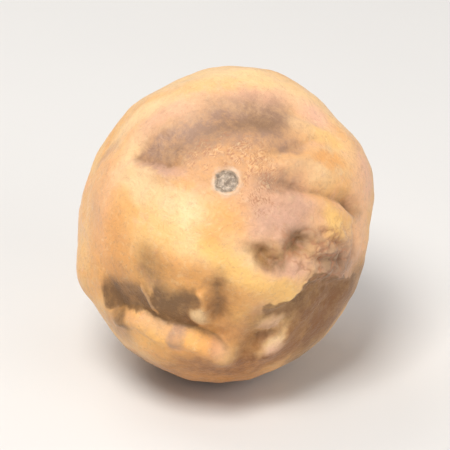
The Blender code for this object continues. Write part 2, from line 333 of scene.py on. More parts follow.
@dataclass(frozen=True)
class Band:
    """A stretch of rind along a line.

    Attributes:
        line: The line.
        left: How far it reaches on the left of the line's travel, in millimetres.
        right: How far it reaches on the right.
        beyond: How far it reaches past the line's ends.
    """

    line: Line
    left: float
    right: float
    beyond: float = 1.2

    def distance(self, directions: np.ndarray) -> np.ndarray:
        """How far each direction is from the band's line.

        Args:
            directions: Unit directions from the fruit's middle.

        Returns:
            The distance as a share of the way to the band's edge.
        """
        across, along = self.line.position(directions)
        past = np.maximum(np.maximum(-along, along - 1.0), 0.0) * self.line.length()
        past = np.minimum(past, np.abs(across))
        aside = np.sqrt(across**2 - past**2)
        return np.hypot(aside / np.where(across >= 0, self.left, self.right), past / self.beyond)


@dataclass(frozen=True)
class Swell:
    """An oval that stands proud, or is hollow where its height, in millimetres, is below zero."""

    oval: Oval
    rise: float

    def height(self, directions: np.ndarray) -> np.ndarray:
        """How far it raises the rind in each direction, in millimetres."""
        return self.rise * self.oval.mound(directions)


@dataclass(frozen=True)
class Fold:
    """A crease along a line, with its own slope on each side. Left and right are of the line's travel.

    Attributes:
        line: Where it runs.
        depth: How deep its valley is, in millimetres. Below zero, it is a rib.
        slopes: How wide the left and the right slope are, in millimetres.
        lips: How proud the rind stands beyond the left and the right slope, in millimetres.
        sharp: 1 for a V, 2 for a round valley.
        ends: How much of its length fades in at its start and out at its end.
    """

    line: Line
    depth: float
    slopes: Pair
    lips: Pair = (0.0, 0.0)
    sharp: float = 1.5
    ends: Pair = (0.22, 0.22)

    def height(self, directions: np.ndarray) -> tuple[np.ndarray, np.ndarray]:
        """The fold's relief.

        Args:
            directions: Unit directions from the fruit's middle.

        Returns:
            How far it raises the rind, in millimetres, and how much painted shade each direction gets along
            its crease, 0 to 1.
        """
        across, along = self.line.position(directions)
        left = across >= 0
        share = np.abs(across) / np.where(left, *self.slopes)
        valley = -self.depth * np.exp(-(share**self.sharp))
        raised = np.where(left, *self.lips) * dome(share - LIP_PLACE)
        fade = fade_ends(along, self.ends)
        spread = DARK_WIDTH * self.sharp**2 * min(self.slopes)
        dark = min(1.0, max(0.0, self.depth - PALE_DEPTH) / (DARK_DEPTH * self.sharp**3))
        return (valley + raised) * fade, dark * dome(across / spread) * fade


@dataclass(frozen=True)
class Ledge:
    """A step down along a line, on the right of its travel, that evens out again further off.

    Attributes:
        line: Where its edge runs.
        drop: How far it steps down, in millimetres.
        steep: How wide the step is, in millimetres.
        reach: How far off the rind is level again, in millimetres.
        ends: How much of its length fades in at its start and out at its end.
    """

    line: Line
    drop: float
    steep: float
    reach: float
    ends: Pair = (0.22, 0.22)

    def height(self, directions: np.ndarray) -> tuple[np.ndarray, np.ndarray]:
        """The ledge's relief.

        Args:
            directions: Unit directions from the fruit's middle.

        Returns:
            How far it raises the rind, in millimetres, and how much painted shade each direction gets at its
            foot, 0 to 1.
        """
        across, along = self.line.position(directions)
        right = np.maximum(-across, 0.0)
        fade = fade_ends(along, self.ends)
        step = (1.0 - dome(right / self.steep)) * dome(right / self.reach)
        foot = dome((right - self.steep) / self.steep) * (across < 0)
        return -self.drop * step * fade, FOOT_SHADE * foot * fade


@dataclass(frozen=True)
class StainOrPaintedLight:
    """A stretch of rind with a tint of its own. Some are stains, some painted shade and some painted
    highlights.

    Attributes:
        shape: Where it is.
        amount: How strong it is in its middle, 0 to 1. Below zero, it clears that much of what is there.
        soft: How much of its way out to the rim fades: near 0 is a crisp edge.
        ragged: How much its outline wanders: 1 is the usual amount.
    """

    shape: Union[Oval, Band]
    amount: float
    soft: float = 0.8
    ragged: float = 1.0

    def lay_on(self, cover: np.ndarray, directions: np.ndarray, wobble: np.ndarray) -> np.ndarray:
        """Adds this patch of tint to what its tone already covers.

        Args:
            cover: How strongly the tone tints each direction so far, 0 to 1.
            directions: Unit directions from the fruit's middle.
            wobble: How far the outline may wander in each direction.

        Returns:
            The cover with this stain.
        """
        ragged = directions + wobble * self.ragged
        ragged /= np.linalg.norm(ragged, axis=1)[:, None]
        here = smooth_step(1.0 + self.soft, 1.0 - self.soft, self.shape.distance(ragged))
        if self.amount < 0:
            return cover * (1.0 + self.amount * here)
        return 1.0 - (1.0 - cover) * (1.0 - self.amount * here)


SWELLS: dict[str, Swell] = {
    "right shoulder": Swell(Oval((33, 16), (12, 9), -60), 2.5),
    "left cheek": Swell(Oval((-35.3, -12.5), (9, 8)), 2.4),
    "belly": Swell(Oval((-8, -1), (15, 9), 25), 1.1),
    "belly shoulder": Swell(Oval((-10, -8), (12, 3.6), -18), 0.9),
    "lower belly": Swell(Oval((9, -14.5), (8.5, 4.2), 10), 1.5),
    "ridge right of the scar": Swell(Oval((23.5, 13.6), (9, 2.4), -8), 1.2),
    "upper ridge on the right": Swell(Oval((20, 23.6), (8, 2.2), -24), 0.8),
    "low ridge on the right": Swell(Oval((17.5, 15.2), (6, 1.6), 14), 0.6),
    "pad right of the scar": Swell(Oval((15.5, 6), (5, 2.4), -12), 0.7),
    "lower lip": Swell(Oval((-16, -29.5), (16, 8.5), -16), 1.5),
    "right end of the lip": Swell(Oval((-3.4, -31.5), (6, 3.4), -25), 0.7),
    "knob under the fold": Swell(Oval((0, -31.4), (2.6, 2.4)), 1.2),
    "bump in the fold": Swell(Oval((-6.2, -22.8), (2.6, 2.6), 30), 1.9),
    "upper fleck on the shaded side": Swell(Oval((11.6, -24.5), (3.4, 2.6), 12), 0.9),
    "lower fleck on the shaded side": Swell(Oval((12.6, -29.8), (5.6, 3), 78), 1.2),
    "brow hollow, left": Swell(Oval((-13.5, 19.5), (10, 4.6), 22), -1.5),
    "brow hollow, right": Swell(Oval((4.5, 27), (12, 5), 5), -2),
    "scar basin": Swell(Oval((0.4, 11.5), (9, 7)), -0.8),
    "hollow right of the scar": Swell(Oval((13.5, 2.5), (8, 6), -30), -0.8),
    "deep dent": Swell(Oval((18, -4), (3.2, 2.7), 40), -1.9),
    "small dent": Swell(Oval((9.8, -7.4), (2.8, 2.1), -30), -1.5),
    "right notch": Swell(Oval((32.3, 5), (3.2, 2.4), -20), -1.5),
    "waist on the right": Swell(Oval((37.6, -4.3), (8, 5), 80), -1.9),
    "shaded side": Swell(Oval((23, -24), (12, 8), 38), -0.9),
    "wedge beside the flecks": Swell(Oval((6.6, -27.6), (5, 3), 66), -1.4),
    "left smear": Swell(Oval((-18, -11.5), (4, 5)), -0.6),
    "left temple": Swell(Oval((-28, 22), (10, 7), 50), -1.1),
    "crown dip": Swell(Oval((-12, 35.5), (8, 6)), -0.7),
    "back, upper hollow": Swell(Oval((12, 20), (13, 8), 25, Side.BACK), -2.6),
    "back, left hollow": Swell(Oval((-22, 8), (8, 12), -15, Side.BACK), -2.4),
    "back, low swell": Swell(Oval((16, -9), (11, 8), 0, Side.BACK), 1.5),
    "back, crown swell": Swell(Oval((-8, 27), (10, 6), -20, Side.BACK), 1.2),
    "back, middle swell": Swell(Oval((-7, 9), (8, 6), 40, Side.BACK), 1),
    "back, right flank": Swell(Oval((31, 2), (6, 11), 0, Side.BACK), -1.5),
    "back, dent": Swell(Oval((5.5, 4.5), (4.5, 3.2), -25, Side.BACK), -1.6),
    "back, upper left dent": Swell(Oval((-21, 21), (6.5, 4.5), 35, Side.BACK), -1.6),
    "back, low hollow": Swell(Oval((-10, -25), (10, 5), -12, Side.BACK), -1.6),
}

FOLDS: dict[str, Union[Fold, Ledge]] = {
    "brow line": Fold(
        Line(((-25, 17.8), (-21, 16.6), (-17, 15.6), (-13, 14.7), (-9, 15.8))), 1.1, (3.2, 1.5), (0, 0.5)
    ),
    "line right of the scar": Fold(
        Line(
            (
                (8.5, 10.7), (14, 10.4), (18, 9.4), (19.8, 8.5), (23.4, 8), (27.7, 6.8), (31.7, 5.2),
                (33.8, 2.2),
            )
        ),
        1.6, (1.7, 1.5), (0.4, 0.2), ends=(0.25, 0.12),
    ),
    "upper line right of the scar": Fold(
        Line(((9, 17.4), (13, 18.2), (17, 19.3), (21, 21), (24.5, 21.4))), 1.1, (2, 1.6), (0.2, 0.3)
    ),
    "furrow on the shoulder": Fold(
        Line(((14.5, 27), (20, 25.5), (25, 21.5), (28.5, 15.5))), 0.7, (2.6, 3.2), (0.2, 0.3), sharp=2
    ),
    "crack below the scar": Fold(Line(((3.6, 6), (4.8, 3.6), (6.4, 0.6))), 0.35, (0.8, 0.7), (0.2, 0)),
    "line between the dents": Fold(
        Line(((5.5, -5), (9, -6.6), (10.9, -8.7), (13, -8.6), (15.5, -6.6), (18.5, -4.6), (19.8, -0.8))),
        0.8, (1.6, 1.6), (0.2, 0.4),
    ),
    "edge of the shaded side": Ledge(
        Line(
            (
                (7.5, -20), (11, -20.2), (14.7, -18.9), (18.2, -16.2), (20.2, -14.5), (22.5, -13.4),
                (26, -12.6), (29, -13), (33, -13.2),
            )
        ),
        2.5, 1.5, 13,
    ),
    "seam across the shaded side": Fold(
        Line(((3, -32.5), (7.6, -28.9), (12.5, -26.6), (16.5, -22.5))), 0.8, (1.9, 2.1), (0.2, 0.2)
    ),
    "long fold": Fold(
        Line(
            (
                (-28.8, -20.2), (-26, -20.7), (-22.5, -21), (-19.5, -22.3), (-15, -24.2), (-9.5, -25.3),
                (-4.3, -27.2), (-0.9, -29.2), (2.6, -30.8),
            )
        ),
        3, (8.5, 1.4), (0, 0.9), ends=(0.1, 0.16),
    ),
    "rib in the fold": Fold(Line(((-20.8, -14.5), (-19.2, -17.8), (-17.6, -22.4))), -0.9, (0.8, 0.8)),
    "second rib in the fold": Fold(Line(((-6.6, -16), (-5.2, -18.6), (-5, -22))), -1.2, (0.9, 0.9)),
    "branch of the long fold": Fold(
        Line(((-2, -12), (-1.9, -16), (-1.7, -21), (-2.6, -25.5))), 1.9, (2.8, 3), (0, 0.3)
    ),
    "right flank, first crease": Fold(
        Line(((22.5, -1.5), (27, -3.5), (31.5, -7))), 0.8, (1.3, 1.5), (0.3, 0.2)
    ),
    "right flank, second crease": Fold(
        Line(((20.5, -7.4), (25.5, -9), (31.5, -8.2))), 0.7, (1.1, 1.2), (0.3, 0.3)
    ),
    "right flank, third crease": Fold(
        Line(((27.8, -3), (29.3, -7.5), (28.3, -12))), 0.6, (1, 1.2), (0.3, 0.2)
    ),
    "right flank, fourth crease": Fold(
        Line(((32, 1.5), (33.2, -4), (31.8, -9.5))), 0.7, (1.2, 1.2), (0.2, 0.3)
    ),
    "back, long crease": Fold(
        Line(((-24, -14), (-14, -19), (-3, -20), (9, -24), (19, -22)), Side.BACK),
        2.5, (6.2, 2), (0, 0.8), sharp=2,
    ),
    "back, crease to the blossom end": Fold(
        Line(((-27, 16), (-17, 11), (-10, 2), (-3, -6)), Side.BACK), 1.8, (2.4, 4.4), (0.5, 0), sharp=2
    ),
    "back, crown crease": Fold(
        Line(((2, 33), (5, 25), (3, 16), (7, 7)), Side.BACK), 1.6, (4.2, 2.2), (0, 0.5), sharp=2
    ),
    "back, right crease": Fold(
        Line(((33, 14), (26, 6), (22, -1), (12, -5)), Side.BACK), 1.5, (3.6, 2.2), (0.3, 0.4), sharp=2
    ),
    "back, left crease": Fold(
        Line(((-34, -3), (-30, -9), (-24, -11), (-18, -8)), Side.BACK), 1.3, (2.2, 3), (0.3, 0.2), sharp=2
    ),
}

SHADED_EDGE = FOLDS["edge of the shaded side"].line

# Stains, painted shade and painted highlights. A later one lies over the earlier ones of its tone.
STAINS_AND_PAINTED_LIGHT: dict[Tone, dict[str, StainOrPaintedLight]] = {
    Tone.MAUVE: {
        "brow": StainOrPaintedLight(
            Band(Line(((-17.5, 18.6), (-11, 21), (-5, 24.6), (2.5, 27), (10, 27), (13, 26.4))), 5.6, 6.8, 4),
            0.92, 0.9,
        ),
        "brow, core": StainOrPaintedLight(
            Band(Line(((-15, 18.6), (-10, 20.4), (-5, 23.6), (2.5, 26.2), (10, 26.4))), 3.4, 3.4, 3), 0.52
        ),
        "brow, left tip": StainOrPaintedLight(Oval((-19.5, 17.6), (5, 1.8), 12), 0.5, 0.7),
        "brow, right end, low": StainOrPaintedLight(Oval((8, 22.2), (6.5, 3.4), -5), 0.72),
        "round the brow": StainOrPaintedLight(Oval((-1, 22), (22, 11), 12), 0.24),
        "round the scar": StainOrPaintedLight(Oval((5, 14.5), (14, 8), 12), 0.42, 0.9),
        "furrow above right": StainOrPaintedLight(Oval((16.5, 19.2), (4, 1.7), 14), 0.6, 0.5),
        "smear right of the scar": StainOrPaintedLight(Oval((13.4, 9.8), (6, 2.4), -6), 0.7, 0.6),
        "below right of the scar": StainOrPaintedLight(Oval((13, 3), (9, 8), -30), 0.26),
        "over the right half": StainOrPaintedLight(Oval((21, -4), (15, 16), 8), 0.08),
        "right crumple": StainOrPaintedLight(Oval((28.5, -9), (7.5, 6.5)), 0.75),
        "round the dents": StainOrPaintedLight(Oval((14, -3.5), (8.5, 5), 30), 0.35),
        "left edge": StainOrPaintedLight(Oval((-30.5, 18.5), (5, 2), 55), 0.35, 0.6),
        "left edge, low": StainOrPaintedLight(Oval((-33, 4), (3, 9), -5), 0.2),
        "spot on the lower lip": StainOrPaintedLight(Oval((-10.8, -26.5), (3.3, 2.3), 66), 0.56, 0.25),
        "end of the lower lip": StainOrPaintedLight(Oval((-5, -31.6), (6, 1.8), -18), 0.35, 0.7),
        "under the left lip": StainOrPaintedLight(Oval((-25.6, -24.2), (5.2, 4), -40), 0.52, 0.6),
        "lip, upper edge": StainOrPaintedLight(Oval((-17, -24.6), (8, 1), -18), 0.3, 0.6),
        "deep dent": StainOrPaintedLight(Oval((17.5, -4.4), (5, 3.4), 40), 0.25),
        "back, brow": StainOrPaintedLight(
            Band(Line(((-14, 24), (-4, 27), (6, 24), (14, 17)), Side.BACK), 6, 5.4, 4), 0.95, 0.9
        ),
        "back, left patch": StainOrPaintedLight(Oval((-21, 6), (7, 10), -15, Side.BACK), 0.85),
        "back, right patch": StainOrPaintedLight(Oval((26, 4), (5, 8), 20, Side.BACK), 0.85),
        "back, low right patch": StainOrPaintedLight(Oval((22, -20), (9, 5), -25, Side.BACK), 0.8),
        "back, shoulder patch": StainOrPaintedLight(Oval((20, 26.5), (8, 4.5), -35, Side.BACK), 0.8),
        "back, left edge patch": StainOrPaintedLight(Oval((-33, 13), (5, 8), -15, Side.BACK), 0.75, 0.9),
        "back, middle patch": StainOrPaintedLight(Oval((12, 12), (7, 6), 30, Side.BACK), 0.6),
        "rib, greyed": StainOrPaintedLight(Band(Line(((-20, -16.5), (-19.2, -17.8), (-17.8, -21.6))), 0.8, 0.8), 0.5, 0.6),
    },
    Tone.UMBER_AND_SHADE: {
        "brow, darker left end": StainOrPaintedLight(Oval((-13, 17.8), (6, 2.6), 14), 0.3, 0.9),
        "brow, darker right end": StainOrPaintedLight(Oval((9, 25.4), (6.2, 4.2), -5), 0.56),
        "brow, darker middle": StainOrPaintedLight(Oval((-2, 23.2), (6.5, 3.4), 25), 0.36, 0.9),
        "smear's dark line": StainOrPaintedLight(Oval((14, 9.2), (4.6, 1.3), -8), 0.16, 0.7),
        "right crumple": StainOrPaintedLight(Oval((28, -9.4), (6.5, 3.8), 20), 0.62, 0.9),
        "right crumple, upper": StainOrPaintedLight(Oval((24, -4.6), (3.4, 1.6), -30), 0.4, 0.9),
        "under the left lip": StainOrPaintedLight(Oval((-25.2, -22.5), (3, 1.9), -20), 0.8, 0.5),
        "deep dent": StainOrPaintedLight(Oval((18, -4.4), (4.6, 3.4), 40), 0.7),
        "small dent": StainOrPaintedLight(Oval((10.4, -7.9), (4, 2.2), -30), 0.62),
        "small dent, low": StainOrPaintedLight(Oval((11.2, -9.2), (3, 1.6), -10), 0.5, 0.9),
        "line between the dents": StainOrPaintedLight(Band(FOLDS["line between the dents"].line, 1.2, 1.2), 0.25),
        # From here to the middle pocket's top: painted shade in the long fold's pockets under the belly's
        # overhang, over some real dark staining.
        "fold, left pocket": StainOrPaintedLight(
            Band(Line(((-27.6, -20.5), (-25, -20.8), (-21.2, -21.3), (-20, -21.9))), 8, 0.5, 2.2),
            0.94, 0.28, 0.5,
        ),
        "fold, middle pocket": StainOrPaintedLight(
            Band(Line(((-18, -23), (-15, -24.2), (-10.5, -25.1), (-7.8, -25.6))), 11, 0.5), 0.95, 0.25, 0.3
        ),
        "fold, right pocket": StainOrPaintedLight(Oval((-1.7, -19), (7, 3.2), 86), 0.34, 0.5),
        "fold, right pocket's foot": StainOrPaintedLight(Oval((-1.6, -21.4), (3.8, 2.8), 80), 0.46, 0.6),
        "fold, darkest place": StainOrPaintedLight(Oval((-9.4, -18.6), (4.4, 3)), 0.9, 0.5),
        "fold, middle pocket, top": StainOrPaintedLight(Oval((-12.4, -18.4), (6, 2.2)), 0.6, 0.4, 0.5),
        # From here to the patch between the flecks: painted shadow on the shaded side below the ledge, over a
        # real brown stain; the patch left of the wedge takes some off.
        "shaded side": StainOrPaintedLight(Band(Line(SHADED_EDGE.points[3:]), 0.6, 26, 3), 0.8, 0.35, 1.4),
        "shaded tail": StainOrPaintedLight(Band(Line(SHADED_EDGE.points[1:4]), 0.5, 7.5), 0.74, 0.4, 1.1),
        "shaded middle": StainOrPaintedLight(Oval((20.5, -26.5), (10, 8.5), 40), 0.72, 0.5),
        "shaded rim": StainOrPaintedLight(Oval((31, -19), (12, 8), 55), 0.72, 0.4),
        "shaded foot": StainOrPaintedLight(Oval((21, -31.5), (9, 6), 35), 0.7, 0.5),
        "shaded edge": StainOrPaintedLight(Band(Line(SHADED_EDGE.points[4:]), 0.5, 3.2, 1.5), 0.5, 0.7, 1.4),
        "shaded wedge": StainOrPaintedLight(Oval((6.2, -28), (9.5, 3.4), 74), 0.42, 0.7),
        "left of the wedge": StainOrPaintedLight(Oval((2.4, -24), (5.5, 2.6), 86), -0.75),
        "between the flecks": StainOrPaintedLight(Oval((10.4, -26.8), (3.2, 1.4), 50), 0.5, 0.6),
        "right notch": StainOrPaintedLight(Oval((33, 3.9), (3.2, 2.2), -35), 0.6),
        "left smear": StainOrPaintedLight(Oval((-18, -10), (4.2, 5), 15), 0.54),
        # Painted shade: the rind darker just above the fold's pockets.
        "over the fold": StainOrPaintedLight(Oval((-15.5, -13.2), (12.5, 4.2), -4), 0.2, 0.9),
        # From here to the lower fleck: these take the painted shade off the ribs, the bump and the flecks,
        # which stand proud and catch the light.
        "clear of the rib": StainOrPaintedLight(
            Band(Line(((-20.4, -15.5), (-19.2, -17.8), (-17.8, -22))), 0.5, 0.5), -0.7, 0.5, 0.3
        ),
        "clear of the second rib": StainOrPaintedLight(
            Band(Line(((-6.4, -16.5), (-5.2, -18.6), (-5.2, -22))), 0.8, 0.8), -0.7, 0.4, 0.3
        ),
        "clear of the bump": StainOrPaintedLight(Oval((-6.4, -22.8), (2.3, 2.7), 30), -0.95, 0.35, 0.5),
        "clear of the upper fleck": StainOrPaintedLight(Oval((11.4, -25), (2.8, 2), 24), -0.95, 0.4),
        "clear of the lower fleck": StainOrPaintedLight(Oval((12.4, -29.4), (5, 2.1), 74), -1, 0.35),
        "back, low patch": StainOrPaintedLight(Oval((-6, -23), (14, 4.5), -8, Side.BACK), 0.9, 0.5),
        "back, dent": StainOrPaintedLight(Oval((5.5, 4), (5, 3.2), -25, Side.BACK), 0.8),
        # Painted shade: darker underneath.
        "back, underside": StainOrPaintedLight(Oval((2, -36), (30, 8), 0, Side.BACK), 0.6, 0.7),
        "back, upper left patch": StainOrPaintedLight(Oval((-21, 21), (8, 4.5), 35, Side.BACK), 0.75),
        # This and the back's pocket: painted shade in the left crease and under the long crease on the back.
        "back, left crease": StainOrPaintedLight(Oval((-27, -9), (8, 3), -10, Side.BACK), 0.8, 0.7),
        "back, pocket": StainOrPaintedLight(
            Band(Line(((-20, -16.5), (-12, -19.5), (-3, -20.2)), Side.BACK), 5, 0.8, 2), 0.8, 0.4, 0.6
        ),
        "back, right edge patch": StainOrPaintedLight(Oval((30.5, 12), (3.6, 8), 12, Side.BACK), 0.5, 0.9),
        "back, left edge": StainOrPaintedLight(Oval((-34.5, -4), (4, 5), 10, Side.BACK), 0.45, 0.9),
        "back, right rim": StainOrPaintedLight(Oval((35, -6), (5, 12), 0, Side.BACK), 0.55, 0.9),
    },
    Tone.RUST_AND_SHADE: {
        "brow, reddish line": StainOrPaintedLight(
            Band(Line(((-23, 17.1), (-17.5, 15.7), (-12.5, 14.9))), 1.4, 0.7, 1.5), 0.2, 0.9, 0.4
        ),
        # From here to the low left: painted shade in rust, in the fold's right pocket, on the shaded side and
        # browner towards the bottom; the clearing takes it off the lit flecks.
        "fold, right pocket": StainOrPaintedLight(Oval((-1.9, -18.6), (7, 3.8), 86), 0.22, 0.6),
        "shaded wedge": StainOrPaintedLight(Oval((5.6, -29.5), (10, 5), 74), 0.22),
        "underside": StainOrPaintedLight(Oval((-2, -42), (38, 13)), 0.55, 0.7),
        "shaded side": StainOrPaintedLight(Oval((23, -25), (16, 10), 38), 0.55, 0.6),
        "low right": StainOrPaintedLight(Oval((5, -34), (13, 5), 12), 0.6),
        "clear of the flecks": StainOrPaintedLight(Oval((12, -28.4), (6, 2.2), 78), -0.95, 0.4),
        "low left": StainOrPaintedLight(Oval((-24, -32), (17, 6), -38), 0.6, 0.7),
        "right notch": StainOrPaintedLight(Oval((30.5, 6.6), (4.5, 1.6), -28), 0.25),
        "left flank": StainOrPaintedLight(Oval((-26, -15), (10, 6), -15), 0.18, 0.9),
        "left of the belly": StainOrPaintedLight(Oval((-27, -2), (4.5, 6)), 0.12, 0.9),
        "back, left edge": StainOrPaintedLight(Oval((-32, 22), (6, 4), -30, Side.BACK), 0.35, 0.9),
        "back, rusty patch": StainOrPaintedLight(Oval((-8, -8), (9, 5), 25, Side.BACK), 0.45),
        "lower fleck, reddish speck": StainOrPaintedLight(Oval((10.4, -32.2), (1.6, 1.2), 40), 0.8, 0.7),
        "clear of the knob": StainOrPaintedLight(Oval((0.2, -30.6), (3, 3)), -0.6),
        "clear of the lip": StainOrPaintedLight(Oval((-9.5, -27.6), (10, 2.8), -18), -0.9, 0.5),
    },
    Tone.PINK: {
        "right crumple": StainOrPaintedLight(Oval((28.5, -9.5), (8, 6.5)), 0.8),
        "spot on the lower lip": StainOrPaintedLight(Oval((-10.8, -26.7), (3.4, 2.4), 70), 0.8, 0.3),
        "right rim": StainOrPaintedLight(Oval((34, 12), (3, 5.5), 10), 0.6),
        "right shoulder": StainOrPaintedLight(Oval((21.5, 26), (4.6, 3), -45), 0.8),
        "back, upper right": StainOrPaintedLight(Oval((26, 22), (6, 6), -40, Side.BACK), 0.8),
        "back, left edge": StainOrPaintedLight(Oval((-31.5, 3), (6, 8), 0, Side.BACK), 0.8),
        "back, pink patch": StainOrPaintedLight(Oval((16, 6), (8, 6), -20, Side.BACK), 0.8),
        "back, lip": StainOrPaintedLight(Oval((-6, -16), (12, 2.4), -10, Side.BACK), 0.5, 0.7),
        "upper fleck": StainOrPaintedLight(Oval((11.4, -25), (2.3, 1.6), 24), 0.5, 0.5),
        "lower fleck": StainOrPaintedLight(Oval((12, -30.6), (3.6, 2.4), 74), 0.7, 0.6),
        "above the brow": StainOrPaintedLight(Oval((8, 31), (8, 3), -8), 0.6),
        "above the brow, left": StainOrPaintedLight(Oval((-14, 27), (9, 3.4), 34), 0.55),
        "under the brow": StainOrPaintedLight(Oval((-15, 14.2), (7, 1.4), -15), 0.8, 0.5),
        "right of the scar": StainOrPaintedLight(Oval((13, 5), (12, 7.5), -20), 0.85),
        "lip, pink patch": StainOrPaintedLight(Oval((-19.5, -25.4), (3, 1.6), -15), 0.7, 0.7),
        "lip, second pink patch": StainOrPaintedLight(Oval((-3.8, -29.4), (3.4, 1.6), -25), 0.4),
        "below the dents": StainOrPaintedLight(Oval((15.5, -11), (6.5, 3), 10), 0.8, 0.7),
        "above the dents": StainOrPaintedLight(Oval((12, -1), (8, 4), 10), 0.6),
        "beside the wedge": StainOrPaintedLight(Oval((2.4, -25.5), (3, 3.6)), 0.6, 0.7),
        "lip's end": StainOrPaintedLight(Oval((-2.6, -29.2), (3.4, 2.4), -20), 0.6, 0.6),
        "lip's upper edge": StainOrPaintedLight(Oval((-18, -23.8), (7, 1), -18), 0.4, 0.6),
        "left of the belly": StainOrPaintedLight(Oval((-29.5, -3), (5, 12), 5), 0.35, 0.9),
    },
    Tone.ORANGE: {
        # Painted shade: deeper orange where the belly turns down below its shoulder.
        "belly turning down, painted shade": StainOrPaintedLight(Oval((-10.5, -11.6), (7.5, 5), -20), 0.7, 0.6),
        "below the scar": StainOrPaintedLight(Oval((-0.4, 0.6), (5, 5.4)), 0.75),
        "scar's surroundings": StainOrPaintedLight(Oval((2.5, 13.5), (12, 8), 8), 0.7, 0.7),
        "right flank": StainOrPaintedLight(Oval((27, -4.5), (3.4, 3), 20), 0.4, 0.6),
        "right shoulder": StainOrPaintedLight(Oval((24.6, 15.8), (6, 2), -12), 0.85, 0.6),
        "right shoulder, low": StainOrPaintedLight(Oval((29, 10), (5, 2.4), -30), 0.5, 0.7),
        "lower lip": StainOrPaintedLight(Oval((-15, -27.6), (13, 5), -16), 0.5, 0.6),
        "low belly": StainOrPaintedLight(Oval((3, -18.5), (9, 3), 8), 0.5, 0.7),
        "left flank, low": StainOrPaintedLight(Oval((-27, -12.5), (11, 9)), 0.75),
        "left cheek": StainOrPaintedLight(Oval((-28, -1), (6, 8)), 0.75),
        "right of the belly's light": StainOrPaintedLight(Oval((-4.4, -1.8), (3.4, 2.6), -30), 0.5),
        "over the scar": StainOrPaintedLight(Oval((-1, 17.5), (9, 4.5), 8), 0.5, 0.7),
        "brow, below its right end": StainOrPaintedLight(Oval((8, 22), (6, 3), -5), 0.4),
        "brow, warm middle": StainOrPaintedLight(Oval((-4, 24), (9, 3), 25), 0.6),
        # Painted shade: deeper orange underneath.
        "underside": StainOrPaintedLight(Oval((-2, -39), (36, 12)), 0.95, 0.6),
        "clear of the bump": StainOrPaintedLight(Oval((-6.4, -22.8), (2.6, 2.8), 30), -0.9, 0.5),
        "clear of the knob": StainOrPaintedLight(Oval((0.2, -30.8), (3.6, 3.4)), -0.55),
        "clear of the flecks": StainOrPaintedLight(Oval((12, -28.2), (7, 2.8), 78), -0.9, 0.5),
        "back, warm left": StainOrPaintedLight(Oval((-18, -8), (10, 7), 20, Side.BACK), 0.85),
        "back, warm right": StainOrPaintedLight(Oval((22, 14), (9, 7), -20, Side.BACK), 0.85),
        "back, crown": StainOrPaintedLight(Oval((0, 35), (9, 3), 0, Side.BACK), 0.6),
        "back, left rim": StainOrPaintedLight(Oval((-35, 6), (7, 12), 0, Side.BACK), 0.6),
    },
    Tone.GOLD_AND_HIGHLIGHT: {
        "back, belly": StainOrPaintedLight(Oval((-6, 10), (8, 6), 40, Side.BACK), 0.5),
        "back, low belly": StainOrPaintedLight(Oval((15, -9), (9, 6), 0, Side.BACK), 0.5),
        "back, crown": StainOrPaintedLight(Oval((10, 32), (8, 3.6), -15, Side.BACK), 0.7),
        "back, right rim": StainOrPaintedLight(Oval((35, 14), (7, 9), 0, Side.BACK), 0.5),
        # Painted highlight on the lower belly.
        "lower belly highlight": StainOrPaintedLight(
            Band(Line(((-4, -5), (2, -10.5), (8, -13.8), (15, -16))), 3, 3.6, 2.5), 0.85, 0.7
        ),
        "right flank, bright": StainOrPaintedLight(Oval((27.4, -0.5), (3, 4.5), 25), 1, 0.6),
        # From here to the patch beside the wedge: painted highlights on the lip, and painted light where the
        # rind turns down between the fold and the wedge.
        "lip, bright left": StainOrPaintedLight(Oval((-17.5, -26), (6, 3.2), -14), 0.9, 0.6),
        "lip, bright right": StainOrPaintedLight(Oval((-6.6, -27.6), (3.4, 2.6), -20), 0.9, 0.5),
        "between the fold and the wedge": StainOrPaintedLight(Oval((2.4, -22.6), (2.6, 5)), 0.8),
        "upper right, bright": StainOrPaintedLight(Oval((24, 21), (5, 2.2), -40), 0.6, 0.6),
    },
    Tone.CREAM_AND_HIGHLIGHT: {
        "back, crown": StainOrPaintedLight(Oval((-6, 31), (14, 5), -10, Side.BACK), 0.6, 0.7),
        "back, right ridge": StainOrPaintedLight(Oval((17, -2), (8, 2), -20, Side.BACK), 0.5, 0.7),
        # From here to the low belly's bright right: painted highlights on the belly.
        "belly highlight": StainOrPaintedLight(
            Band(Line(((-21, 10.5), (-13, 6), (-6, 1), (0, -5), (5, -10))), 3.6, 4.2, 3), 0.7, 0.7
        ),
        "belly, low light": StainOrPaintedLight(Oval((-5.6, -8.6), (5.5, 3.2), -25), 0.7),
        "belly, brightest place": StainOrPaintedLight(Oval((-7, 1.6), (5.5, 3), -38), 0.8),
        "low belly, bright right": StainOrPaintedLight(Oval((11, -16.4), (5.5, 2), 5), 0.6),
        "left below the scar": StainOrPaintedLight(Oval((-3.5, 7.5), (4.5, 3), 10), 0.45),
        "between the smears": StainOrPaintedLight(Oval((12.5, 14.4), (6, 1.8), 4), 0.4),
        "left temple, low": StainOrPaintedLight(Oval((-22.5, 11.5), (5, 4), -30), 0.7),
        # The crown's two stains: partly the rind's own pale top, partly painted sheen along the top rim.
        "crown": StainOrPaintedLight(Oval((-3, 36.5), (24, 7), 3), 0.7, 0.6),
        "crown, left": StainOrPaintedLight(Oval((-20.5, 27.5), (10, 4), 42), 0.8, 0.6),
        "left temple": StainOrPaintedLight(Oval((-24.5, 17), (3.6, 9), -22), 0.7, 0.6),
        # From here to the second ridge: painted highlights on the ridges on the right, and painted sheen
        # along the upper right rim.
        "upper right": StainOrPaintedLight(Oval((20, 24), (9, 2.6), -30), 0.55, 0.6),
        "upper right rim": StainOrPaintedLight(Oval((22, 28), (13, 3.6), -42), 0.5, 0.7),
